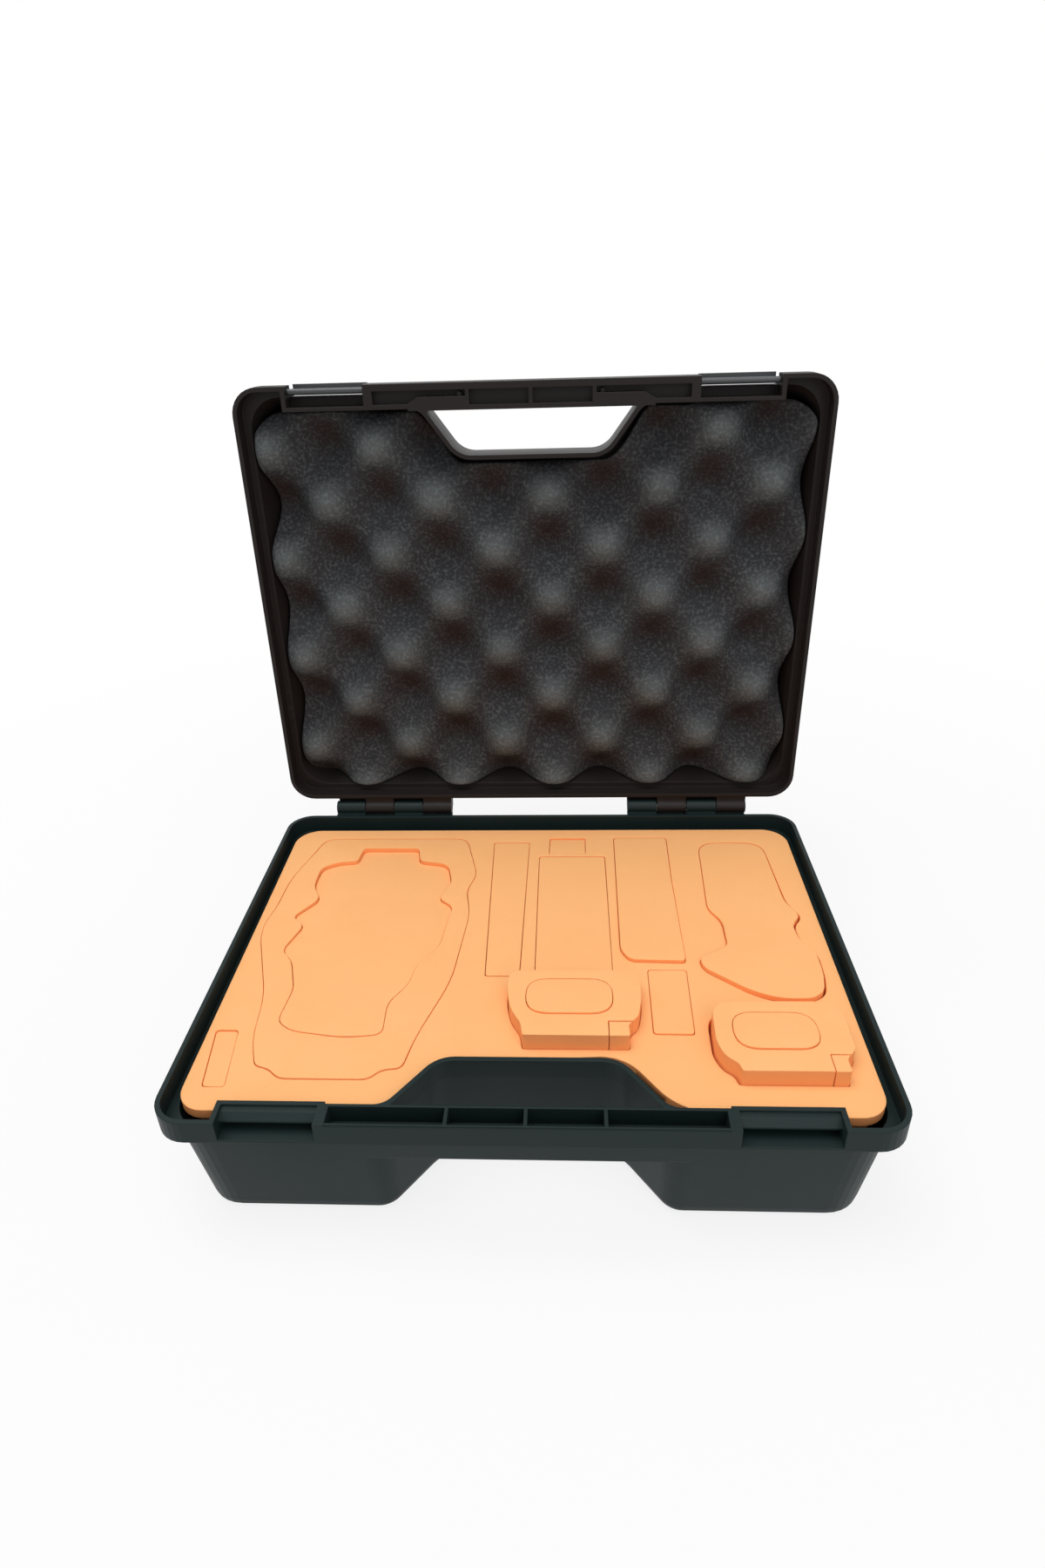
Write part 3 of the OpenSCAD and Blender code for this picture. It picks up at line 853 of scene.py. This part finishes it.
@dataclass
class EggCratePad:
    """The lid's egg-crate pad."""

    sizes: CaseSizes
    columns: int = 230
    rows: int = 180
    side_gap: float = 7.2
    rear_gap: float = 6.6
    slot_gap: float = 3.2
    rail_ease: float = 1.8  # how far the step behind the rail falls short of the rail's depth
    rail_end: float = 99.0
    rail_run: float = 8.0
    hole_reach: float = 14.0
    hole_run: float = 17.0
    hole_ease: float = 11.0  # how far the step round the hand hole falls short of its depth
    peak_drop: float = 5.0
    crate_height: float = 19.0
    pitch_x: float = 62.7
    pitch_y: float = 62.0
    shift_x: float = -21.3
    shift_y: float = 26.6
    slant: float = 0.03
    drift: float = 5.5
    drift_x: tuple[float, float] = (40.0, 110.0)  # where the drift starts, and its run
    drift_y: tuple[float, float] = (10.0, 80.0)
    uneven: tuple[float, ...] = (0.035, 0.03, 0.02)
    uneven_x: tuple[float, float] = (18.0, 45.0)
    uneven_y: tuple[float, float] = (-40.0, 40.0)
    uneven_phase: float = 6.28
    uneven_tone: float = 0.6
    seed: int = 7
    painted_shade_shift: float = 7.5
    peak_power: float = 1.5
    hollow_power: float = 1.6
    taper: float = 0.0023
    taper_start: float = 10.0
    corner: float = 13.0
    roll: float = 2.2
    back_shrink: tuple[float, float] = (0.95, 0.93)
    back_step: float = 5.0
    back_middle: float = 40.0
    back_tone: float = 0.3
    sharp: float = 60.0
    finish: OpenFoam = OpenFoam(
        "open_cell_dark_foam",
        # painted light colour of the lit peaks; the hollow colour below is painted shade
        painted_light_peak=(0.088, 0.097, 0.099),
        flank=(0.0305, 0.0305, 0.0335),
        painted_shade=(0.0240, 0.0160, 0.0150),
    )

    def front_edge(self, x: np.ndarray) -> np.ndarray:
        """Front edge at x: a step behind the rail and one of 3k^2 - 2k^3 round the hand hole.

        Args:
            x: positions across the lid.

        Returns:
            Y of the edge at each x.
        """
        s = self.sizes
        x = np.abs(x)
        k = share(s.hole_half + self.hole_reach - x, self.hole_reach + self.hole_run)
        behind = s.lid_rail_depth - s.slot_back - self.rail_ease
        edge = s.front + s.slot_back + self.slot_gap
        edge = edge + behind * share(self.rail_end - x, self.rail_run)
        return edge + (s.hole_depth - self.hole_ease) * k * k * (3 - 2 * k)

    def surface(self) -> tuple[np.ndarray, np.ndarray]:
        """Wavy face: depth = drop + height (1 - cos x' cos y') / 2, rolled down at its edges.

        The pattern lies a little slanted and drifts towards one corner, as stretched foam does.
        The tone is painted light and shade: painted light on the peaks, and painted shade in the
        hollows, moved towards the side away from the hinge.

        Returns:
            Points of the grid in the shut lid's place and the painted light and shade tone of each,
            from 0 to 1.
        """
        s = self.sizes
        u = np.sin(np.linspace(-math.pi / 2, math.pi / 2, self.columns))[None, :]
        v = 0.5 + 0.5 * np.sin(np.linspace(-math.pi / 2, math.pi / 2, self.rows))[:, None]
        half = s.half_width - self.side_gap
        rear = s.half_depth - self.rear_gap
        edge = self.front_edge(u * half)
        y = edge + (rear - edge) * v
        front = self.front_edge(np.array([half]))[0]
        into = np.maximum(0.0, np.maximum(y - rear + self.corner, front + self.corner - y))
        width = half - self.corner + np.sqrt(self.corner**2 - np.minimum(into, self.corner) ** 2)
        x = u * width
        (from_x, run_x), (from_y, run_y) = self.drift_x, self.drift_y
        drift = self.drift * share(from_x - x, run_x) * share(from_y - y, run_y)
        across = np.cos(TURN * (x + drift - self.shift_x) / self.pitch_x)
        along = TURN * (y + self.slant * x - self.shift_y) / self.pitch_y
        wave = across * np.cos(along)
        # Painted shade: the hollows' wave, moved by painted_shade_shift towards the side away from
        # the hinge
        painted_shade = -across * np.cos(along + TURN * self.painted_shade_shift / self.pitch_y)
        rng = np.random.default_rng(self.seed)
        n = len(self.uneven)
        lengths_x, lengths_y = rng.uniform(*self.uneven_x, n), rng.uniform(*self.uneven_y, n)
        phases = rng.uniform(0.0, self.uneven_phase, n)
        sines = zip(self.uneven, lengths_x, lengths_y, phases)
        uneven = sum(a * np.sin(x / lx + y / ly + p) for a, lx, ly, p in sines)
        level = np.clip((1 + wave) / 2 + uneven, 0.0, 1.0)
        depth = self.peak_drop + self.crate_height * (1 - level)
        side = np.minimum(np.minimum(half - np.abs(u * half), y - edge), rear - y)
        near = np.clip(self.roll - side, 0.0, self.roll)
        depth = depth + self.roll - np.sqrt(np.maximum(self.roll**2 - near**2, 0.0))
        lean = 1 - self.taper * np.maximum(0.0, depth - self.taper_start)
        points = np.stack((x * lean, np.where(y > 0, y * lean, y), depth), axis=2)
        # Painted light on the peaks and painted shade in the hollows; the uneven heights move the
        # painted light too
        pale = np.clip(wave, 0.0, 1.0) ** self.peak_power
        dark = np.clip(painted_shade, 0.0, 1.0) ** self.hollow_power
        tone = 0.5 + 0.5 * pale - 0.5 * dark
        return points, np.clip(tone + self.uneven_tone * uneven, 0.0, 1.0)

    def build(self) -> bpy.types.Object:
        """Makes the pad and puts it in the lid.

        Its rim runs to a smaller outline on the lid's inner face, closed by a fan.

        Returns:
            The pad.
        """
        s = self.sizes
        points, tone = self.surface()
        rows, cols = tone.shape
        index = np.arange(rows * cols).reshape(rows, cols)
        rim = np.concatenate((index[0, :-1], index[:-1, -1], index[-1, :0:-1], index[:0:-1, 0]))
        flat = points.reshape(-1, 3)
        x, y, _ = flat[rim].T
        shrink_x, shrink_y = self.back_shrink
        deep = s.lid_height - s.wall - s.foam_lift
        outline = (x * shrink_x, np.where(y > 0, y * shrink_y, y + self.back_step))
        back = ring(np.column_stack(outline), deep)
        middle = np.array([[0.0, self.back_middle, deep]])
        n, m = len(flat), len(rim)
        nxt = np.roll(np.arange(m), -1)
        walls = np.column_stack((rim, n + np.arange(m), n + nxt, rim[nxt]))
        fan = np.column_stack((n + np.arange(m), np.full(m, n + m), n + nxt))
        face = grid_faces(rows, cols, 0, False)[:, ::-1]
        placed = s.open_lid(np.concatenate((flat, back, middle)))
        pad = add_mesh("egg_crate_pad", placed, np.concatenate((face, walls)), fan)
        values = np.full(len(pad.data.vertices), self.back_tone)
        values[:n] = tone.ravel()
        add_values(pad, "tone", "POINT", values)
        shade(pad, self.sharp)
        pad.data.materials.append(self.finish.build())
        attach(pad, "lid")
        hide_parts("lid_foam")
        return pad


@dataclass(frozen=True)
class PlugCut:
    """One lift-out plug: its node, body, outline, top levels over the sheet, and holes."""

    node: str
    body: str
    outline: Corners
    rear: float
    front: float
    holes: tuple[Corners, ...] = ()


# Outlines of the cuts, clockwise: x, y and blend of each corner. A name ending in CUT is a plug
# that is smaller than its pocket.

AIRCRAFT: Corners = [
    (-111.5, 95.4, 3), (-75.9, 95.2, 3), (-73.5, 81, 4), (-55, 77.5, 7), (-51, 57, 5),
    (-57, 42, 4), (-48, 34, 4), (-51.5, -3, 7), (-62, -17, 6), (-63.5, -32, 6),
    (-72.5, -47, 6), (-71.5, -69, 5), (-90, -71.4, 14), (-117, -67, 9), (-125.5, -60.5, 6),
    (-123.5, -36.5, 5), (-130.5, -14, 5), (-137.8, -6, 5), (-131, 16.5, 5), (-139.5, 24, 4),
    (-127.5, 41.5, 6), (-134.5, 54, 7), (-134.3, 73.5, 8), (-125, 79.5, 4), (-113, 80.8, 3),
]
ARMS: Corners = [
    (-138, 106.5, 8), (-46, 106.5, 8), (-36.5, 66, 6), (-41, 49, 6), (-37.4, 27, 9),
    (-42, -30, 12), (-55, -70, 9), (-58.6, -90.2, 4), (-67.9, -91.2, 4), (-73.4, -97.1, 4),
    (-115.2, -97.1, 4), (-121.6, -91.2, 4), (-128.5, -89.4, 5), (-134.5, -72, 9),
    (-137.4, -42, 10), (-152.8, 4.8, 10), (-154.2, 18, 8), (-151.4, 34, 8), (-150.6, 60, 16),
]
BLADE: Corners = [(-154.3, -66, 2), (-143, -66, 2), (-138.6, -102, 2), (-149.4, -102, 2)]
CABLE: Corners = [(-28.2, 101.6, 2), (-5.4, 101.6, 2), (-6.6, -26.2, 2), (-25, -26.2, 2)]
CHARGER: Corners = [(1, 85.6, 2), (42, 85.6, 2), (42, -22.5, 2), (1, -22.5, 2)]
CORD: Corners = [(7.4, 106.4, 2), (30.2, 106.4, 2), (30, 88.4, 2), (7, 88.4, 2)]
TABLET: Corners = [
    (48.1, 107, 3), (82, 107, 3), (80.8, 60, 6), (80.8, -15.6, 3), (51, -14.6, 8), (46.6, -6, 8),
]
CONTROLLER: Corners = [
    (101, 101, 12), (141, 101, 12), (143.8, 37, 6), (149.9, 24, 5), (143.6, 15.6, 5),
    (144.6, 2, 5), (151, -8, 6), (150.6, -26, 8), (148, -39, 6), (140, -44.6, 8),
    (124, -45, 9), (111, -39.4, 7), (89, -21.4, 5), (87.6, -12, 5), (104.3, -3.4, 5),
    (104.2, 19.6, 6), (97.9, 30.2, 6),
]
CONTROLLER_CUT: Corners = [(x - 0.9 if x > 142 else x, y, r) for x, y, r in CONTROLLER]
ADAPTER: Corners = [(60, -20.4, 2), (80.4, -20.4, 2), (79.2, -67.4, 2), (59.3, -67.2, 2)]
BATTERY_LEFT: Corners = [
    (-12, -31, 8), (55, -31, 9), (54.8, -52, 8), (52.4, -64, 6), (47.6, -69.6, 2.5),
    (47.6, -77.2, 1.2), (-3.4, -77.2, 1.2), (-4.6, -68.6, 2.5), (-9, -61.6, 6), (-12, -49, 8),
]
BATTERY_LEFT_CUT: Corners = [
    (-12, -31, 8), (55, -31, 9), (54.8, -52, 8), (52.4, -64, 6), (49.5, -67.4, 0.4),
    (37.7, -67.4, 0.4), (37.7, -77.2, 0.4), (-3.4, -77.2, 1.2), (-4.6, -68.6, 2.5),
    (-9, -61.6, 6), (-12, -49, 8),
]
CORE_LEFT: Corners = [(-2.4, -37.6, 12), (40.6, -37.6, 12), (40.6, -63, 12), (-2.4, -63, 12)]
TAIL_LEFT: Corners = [
    (37.6, -67.4, 0.4), (49.5, -67.4, 0.4), (47.6, -69.6, 2.5), (47.6, -77.2, 1.2),
    (37.6, -77.2, 0.4),
]
BATTERY_RIGHT: Corners = [
    (86.2, -53, 11), (150, -53, 13), (149.6, -84, 6), (144.2, -90, 3), (144.2, -98, 1.2),
    (95, -98, 1.2), (93.8, -93.4, 2.5), (88.6, -89, 5), (85.6, -81, 7),
]
BATTERY_RIGHT_CUT: Corners = [
    (87.1, -53, 11), (150, -53, 13), (149.3, -83.9, 4), (146.4, -87.6, 0.4), (136.9, -87.6, 0.4),
    (136.9, -98, 0.4), (95.8, -98, 1.2), (94.6, -93.4, 2.5), (89.5, -89, 5), (86.5, -81, 7),
]
CORE_RIGHT: Corners = [(95.4, -60.6, 12), (135, -60.6, 12), (135, -85, 12), (95.4, -85, 12)]
TAIL_RIGHT: Corners = [
    (136.8, -87.6, 0.4), (146.4, -87.6, 0.4), (144.2, -90, 3), (144.2, -98, 1.2),
    (136.8, -98, 0.4),
]
POCKETS: tuple[Corners, ...] = (
    ARMS, BLADE, CABLE, CHARGER, CORD, TABLET, CONTROLLER, ADAPTER, BATTERY_LEFT, BATTERY_RIGHT,
)


@dataclass
class FoamSet:
    """The base's floor pad, die-cut sheet and lift-out plugs."""

    sizes: CaseSizes
    foam_drop: float = 5.0
    sheet_height: float = 45.0
    side_gap: float = 7.0
    rear: float = 116.2
    feet: float = -115.4  # Y of the two feet beside the rail
    rail_gap: float = 2.6
    slot_gap: float = 3.6
    rear_round: float = 15.0
    feet_round: float = 13.0
    nick: float = 0.6
    notch_left: float = 1.1
    notch_right: float = 5.6
    flare_left: float = 12.0
    flare_right: float = 30.0
    sheet_grow: float = 3.0  # of the notch at the sheet's underside
    sheet_insets: tuple[float, float] = (7.8, 2.8)  # at the underside and under the rim
    sheet_levels: tuple[float, float] = (59.4, 60.0)  # of the step under the rim
    floor_grow: float = 4.5
    floor_insets: tuple[float, float] = (10.5, 8.5)
    floor_gap: float = 0.2
    plug_rise: float = 9.0
    plug_lift: float = 0.3
    plug_gap: float = 0.26
    drift: float = 0.16
    edge: float = 0.4
    edge_points: int = 6
    upright: float = 0.6  # largest vertical part of a cut side's normal
    sharp: float = 50.0
    finish: CutFoam = CutFoam(
        "orange_cut_foam",
        color=(0.925, 0.462, 0.184),
        deep=(0.875, 0.375, 0.125),
        # cut: redder upright sides, partly their own colour and partly painted bounce light
        cut=(0.985, 0.385, 0.135),
    )

    @property
    def top(self) -> float:
        """Height of the sheet's top face."""
        return self.sizes.base_height - self.foam_drop

    @property
    def low(self) -> float:
        """Height of the sheet's underside."""
        return self.top - self.sheet_height

    def plugs(self) -> list[PlugCut]:
        """Lists the plugs with the levels of each one's rear and front edge over the sheet.

        Returns:
            The plugs.
        """
        r = self.plug_rise
        return [
            PlugCut("aircraft_plug", "aircraft", AIRCRAFT, -3.0, 0.8),
            PlugCut("arm_plug", "arms", ARMS, -0.2, 0.5, (AIRCRAFT,)),
            PlugCut("blade_plug", "blade", BLADE, -0.8, -0.1),
            PlugCut("cable_plug", "cable", CABLE, -0.3, 0.2),
            PlugCut("charger_plug", "charger", CHARGER, -0.3, 0.1),
            PlugCut("cord_plug", "cord", CORD, -1.0, -0.2),
            PlugCut("tablet_plug", "tablet", TABLET, -0.1, 2.0),
            PlugCut("controller_plug", "controller", CONTROLLER_CUT, -0.3, 2.9),
            PlugCut("adapter_plug", "adapter", ADAPTER, -0.2, 0.8),
            PlugCut("battery_plug_left", "battery_l", BATTERY_LEFT_CUT, r, r, (CORE_LEFT,)),
            PlugCut("battery_core_left", "battery_core_l", CORE_LEFT, r - 0.1, r + 0.9),
            PlugCut("battery_tail_left", "battery_tail_l", TAIL_LEFT, r - 0.1, r - 0.1),
            PlugCut("battery_plug_right", "battery_r", BATTERY_RIGHT_CUT, r, r, (CORE_RIGHT,)),
            PlugCut("battery_core_right", "battery_core_r", CORE_RIGHT, r - 0.1, r + 0.9),
            PlugCut("battery_tail_right", "battery_tail_r", TAIL_RIGHT, r - 0.1, r - 0.1),
        ]

    def stock_half(self, grow: float, flare: float) -> np.ndarray:
        """Right half of the foam's outline: two round corners, a foot and the hand hole's side.

        Args:
            grow: growth of the notch round the hand hole.
            flare: radius of the notch's flare.

        Returns:
            Points from the rear to the back middle of the hand hole, as two columns.
        """
        s = self.sizes
        x = s.half_width - self.side_gap
        depth = s.slot_back + self.rail_gap
        front, inner, low, n = s.front + depth, s.slot_end + self.slot_gap, self.feet, self.nick
        r, q = self.rear_round, self.feet_round
        return np.concatenate(
            (
                arc(x - r, self.rear - r, r, 90, 0, CORNER_STEPS),
                arc(x - q, low + q, q, 0, -90, CORNER_STEPS),
                [[inner + n, low], [inner, low + n], [inner, front - n], [inner - n, front]],
                s.hole_side(s.hole_wall + grow, flare, depth)[::-1],
            )
        )

    def stock_outline(self, grow: float = 0.0) -> np.ndarray:
        """Clockwise outline of the foam: a round-cornered sheet, cut back round the rail.

        Args:
            grow: extra growth of the notch round the hand hole.

        Returns:
            Points as an array of two columns.
        """
        right = self.stock_half(self.notch_right + grow, self.flare_right)
        left = self.stock_half(self.notch_left + grow, self.flare_left)
        return np.concatenate((right, left[::-1] * (-1, 1)))

    def edge_profile(self, low: float, high: float) -> np.ndarray:
        """Profile of a cut piece: upright, rounded over at its top by a quarter circle.

        Args:
            low: bottom height.
            high: top height.

        Returns:
            Rows of inset and height, from the bottom up.
        """
        t = np.radians(np.linspace(0, 90, self.edge_points))
        bend = (self.edge * (1 - np.cos(t)), high - self.edge + self.edge * np.sin(t))
        return np.concatenate((np.array([[0.0, low]]), np.column_stack(bend)))

    def piece(
        self,
        name: str,
        outer: np.ndarray,
        holes: tuple[Corners, ...],
        low: float,
        high: float,
        tilt: float = 0.0,
    ) -> bpy.types.Object:
        """Makes one foam piece from its outer wall, its holes and its heights.

        Args:
            name: name of the piece.
            outer: grid of points of the outer wall.
            holes: clockwise corners of each hole.
            low: bottom height.
            high: top height at the rear edge.
            tilt: how much higher the front edge stands.

        Returns:
            The piece.
        """
        grids = [(outer, False)]
        grids += [(swept_wall(h, self.edge_profile(low, high), -1.0), True) for h in holes]
        rear, depth = np.max(outer[..., 1]), np.ptp(outer[..., 1])
        points, faces, start = [], [], 0
        for grid, turned in grids:
            rows, cols, _ = grid.shape
            grid[1:, :, 2] += tilt * (rear - grid[1:, :, 1]) / depth
            quads = grid_faces(rows, cols, start, True)
            faces.append(quads if turned else quads[:, ::-1])
            points.append(grid.reshape(-1, 3))
            start += rows * cols
        obj = add_mesh(name, np.concatenate(points), np.concatenate(faces))
        close_caps(obj)
        shade(obj, self.sharp)
        normals = np.empty(3 * len(obj.data.polygons), np.float32)
        obj.data.polygons.foreach_get("normal", normals)
        # Upright faces take the redder cut colour: partly the cut face's own colour, partly painted
        # bounce light
        add_values(obj, "cut", "FACE", np.abs(normals[2::3]) < self.upright)
        return obj

    def settle(self, obj: bpy.types.Object, mat: bpy.types.Material, body: str, node: str) -> None:
        """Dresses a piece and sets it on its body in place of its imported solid.

        Args:
            obj: the piece.
            mat: its material.
            body: body it rides on.
            node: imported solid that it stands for.
        """
        obj.data.materials.append(mat)
        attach(obj, body)
        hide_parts(node)
        LOG.info("foam piece %s on %s", obj.name, body)

    def floor_pad(self) -> bpy.types.Object:
        """Makes the pad under the sheet, from the shell's floor up to the sheet.

        Returns:
            The pad.
        """
        deep = self.stock_outline(self.floor_grow)
        levels = (self.sizes.wall + self.sizes.foam_lift, self.low - self.floor_gap)
        rings = [(deep, inset, level) for inset, level in zip(self.floor_insets, levels)]
        wall = stock_wall(self.stock_outline(), np.zeros((0, 2)), rings)
        return self.piece("foam_floor", wall, (), *levels)

    def sheet(self) -> bpy.types.Object:
        """Makes the die-cut sheet with its pockets, narrower below the base's rim.

        Returns:
            The sheet.
        """
        stock = self.stock_outline()
        (under, step), (below, above) = self.sheet_insets, self.sheet_levels
        foot = [(self.stock_outline(self.sheet_grow), under, self.low), (stock, step, below)]
        wall = stock_wall(stock, self.edge_profile(above, self.top), foot)
        return self.piece("foam_sheet", wall, POCKETS, self.low, self.top)

    def plug(self, cut: PlugCut, seed: int) -> bpy.types.Object:
        """Makes one plug, a drifting gap smaller than its pocket.

        Args:
            cut: the plug.
            seed: number that sets the drift of its gap.

        Returns:
            The plug's piece.
        """
        low, high = self.low + self.plug_lift, self.top + cut.rear
        profile = self.edge_profile(low, high)
        wall = swept_wall(cut.outline, profile, 1.0, self.plug_gap, seed, self.drift)
        return self.piece("foam_" + cut.node, wall, cut.holes, low, high, cut.front - cut.rear)

    def build(self) -> list[bpy.types.Object]:
        """Makes the floor pad, the sheet and every plug.

        Returns:
            The pieces.
        """
        mat = self.finish.build()
        rows = [(self.floor_pad(), "base", "floor_pad"), (self.sheet(), "base", "die_cut_sheet")]
        for seed, cut in enumerate(self.plugs()):
            rows.append((self.plug(cut, seed), cut.body, cut.node))
        for obj, body, node in rows:
            self.settle(obj, mat, body, node)
        return [obj for obj, _, _ in rows]


@dataclass(frozen=True)
class SoftLamp:
    """A square soft lamp: its place and side in metres, and its power in watts."""

    name: str
    place: tuple[float, float, float]
    size: float
    power: float

    def build(self, target: tuple[float, float, float]) -> None:
        """Adds the lamp.

        Args:
            target: point in metres that it shines at.
        """
        data = bpy.data.lights.new(self.name, "AREA")
        data.size = self.size
        data.energy = self.power
        lamp = bpy.data.objects.new(self.name, data)
        lamp.location = self.place
        aim = Vector(target) - Vector(self.place)
        lamp.rotation_euler = aim.to_track_quat("-Z", "Y").to_euler()
        bpy.context.scene.collection.objects.link(lamp)


@dataclass
class Studio:
    """Camera, lights and floor."""

    focal_px: float = 1059.06
    image_width: float = 1200.0
    sensor: float = 36.0
    clip: tuple[float, float] = (0.01, 50.0)
    place: tuple[float, float, float] = (18.47, -395.05, 388.38)
    pitch: float = 29.411
    yaw: float = -3.159
    roll: float = -1.855
    lamps: tuple[SoftLamp, ...] = (
        SoftLamp("key", (-0.55, 0.05, 1.9), 1.3, 15.0),
        SoftLamp("fill", (0.9, -1.5, 1.4), 1.3, 9.5),
        SoftLamp("top", (0.1, -0.25, 2.1), 1.5, 13.0),
    )
    target: tuple[float, float, float] = (0.0, 0.0, 0.12)
    white: Color = (1.0, 1.0, 1.0)
    world_light: float = 0.45
    floor_half: float = 9.0
    floor_colors: tuple[Color, Color] = ((0.80, 0.80, 0.80), (0.77, 0.77, 0.77))
    floor_drift: float = 0.15
    floor_grain: float = 60.0
    glow_reach: tuple[float, float] = (0.28, 0.75)  # distances between which the glow rises
    glow_near: float = 0.82

    def camera(self) -> None:
        """Sets the camera at the photograph's view, from its pitch, yaw and roll."""
        p, y, r = (math.radians(a) for a in (self.pitch, self.yaw, self.roll))
        ahead = Vector((math.sin(y) * math.cos(p), math.cos(y) * math.cos(p), -math.sin(p)))
        right = Vector((math.cos(y), -math.sin(y), 0.0))
        up = right.cross(ahead)
        right2 = math.cos(r) * right + math.sin(r) * up
        up2 = -math.sin(r) * right + math.cos(r) * up
        data = bpy.data.cameras.new("camera")
        data.sensor_fit = "HORIZONTAL"
        data.sensor_width = self.sensor
        data.lens = self.sensor * self.focal_px / self.image_width
        data.clip_start, data.clip_end = self.clip
        cam = bpy.data.objects.new("camera", data)
        turn = Matrix((right2, up2, -ahead)).transposed().to_4x4()
        cam.matrix_world = Matrix.Translation(Vector(self.place) * MM) @ turn
        bpy.context.scene.collection.objects.link(cam)
        bpy.context.scene.camera = cam

    def seen_rays(self, table: NodeTable) -> Outlet:
        """Masks the rays that show the background: from the camera, in gloss and through glass.

        Args:
            table: nodes of a material or the world.

        Returns:
            The mask.
        """
        path = table.tree.nodes.new("ShaderNodeLightPath")
        kinds = ("Is Camera Ray", "Is Glossy Ray", "Is Transmission Ray")
        seen, gloss, glass = (path.outputs[kind] for kind in kinds)
        return table.math("MAXIMUM", table.math("MAXIMUM", seen, gloss), glass)

    def floor_finish(self) -> bpy.types.Material:
        """Makes the floor's material: pale and matt, and glowing white away from the case.

        Returns:
            The material.
        """
        s = Surface("pale_floor")
        grain = s.effect(EFFECTS.moulded_grain, Size=self.floor_grain)
        color = s.mix(s.line(grain["Drift"], self.floor_drift), *self.floor_colors)
        s.look(color, rough=0.9, gloss=0.1)
        away = s.tree.nodes.new("ShaderNodeVectorMath")
        away.operation = "LENGTH"
        s.feed(away.inputs[0], s.coords)
        far = s.ramp(away.outputs["Value"], *self.glow_reach)
        glow = s.line(far, 1.0 - self.glow_near, self.glow_near)
        white = s.tree.nodes.new("ShaderNodeEmission")
        s.feed(white.inputs["Color"], self.white)
        blend = s.tree.nodes.new("ShaderNodeMixShader")
        s.feed(blend.inputs[0], s.math("MULTIPLY", self.seen_rays(s), glow))
        s.feed(blend.inputs[1], s.shader.outputs[0])
        s.feed(blend.inputs[2], white.outputs[0])
        s.feed(s.tree.nodes["Material Output"].inputs["Surface"], blend.outputs[0])
        return s.material

    def floor(self) -> None:
        """Adds a wide pale floor under the case."""
        h = self.floor_half
        mesh = bpy.data.meshes.new("floor")
        mesh.from_pydata([(-h, -h, 0), (h, -h, 0), (h, h, 0), (-h, h, 0)], [], [(0, 1, 2, 3)])
        mesh.materials.append(self.floor_finish())
        obj = bpy.data.objects.new("floor", mesh)
        bpy.context.scene.collection.objects.link(obj)

    def world(self) -> None:
        """Lights the scene from a pale world that shows white to the camera."""
        world = bpy.data.worlds.new("world")
        world.use_nodes = True
        table = NodeTable(world.node_tree)
        back = table.tree.nodes["Background"]
        table.feed(back.inputs["Color"], self.white)
        strength = table.line(self.seen_rays(table), 1.0 - self.world_light, self.world_light)
        table.feed(back.inputs["Strength"], strength)
        bpy.context.scene.world = world

    def build(self) -> None:
        """Sets the camera, lamps, floor and world."""
        self.camera()
        for lamp in self.lamps:
            lamp.build(self.target)
        self.floor()
        self.world()
        bpy.context.scene.view_settings.view_transform = "Standard"


def main() -> None:
    """Builds the scene in order."""
    logging.basicConfig(level=logging.INFO, format="%(name)s: %(message)s")
    sizes = CaseSizes()
    Studio().build()
    Shells().dress()
    pad = EggCratePad(sizes).build()
    LOG.info("egg-crate pad %s has %d faces", pad.name, len(pad.data.polygons))
    pieces = FoamSet(sizes).build()
    LOG.info("%d foam pieces in the base", len(pieces))


if __name__ == "__main__":
    main()
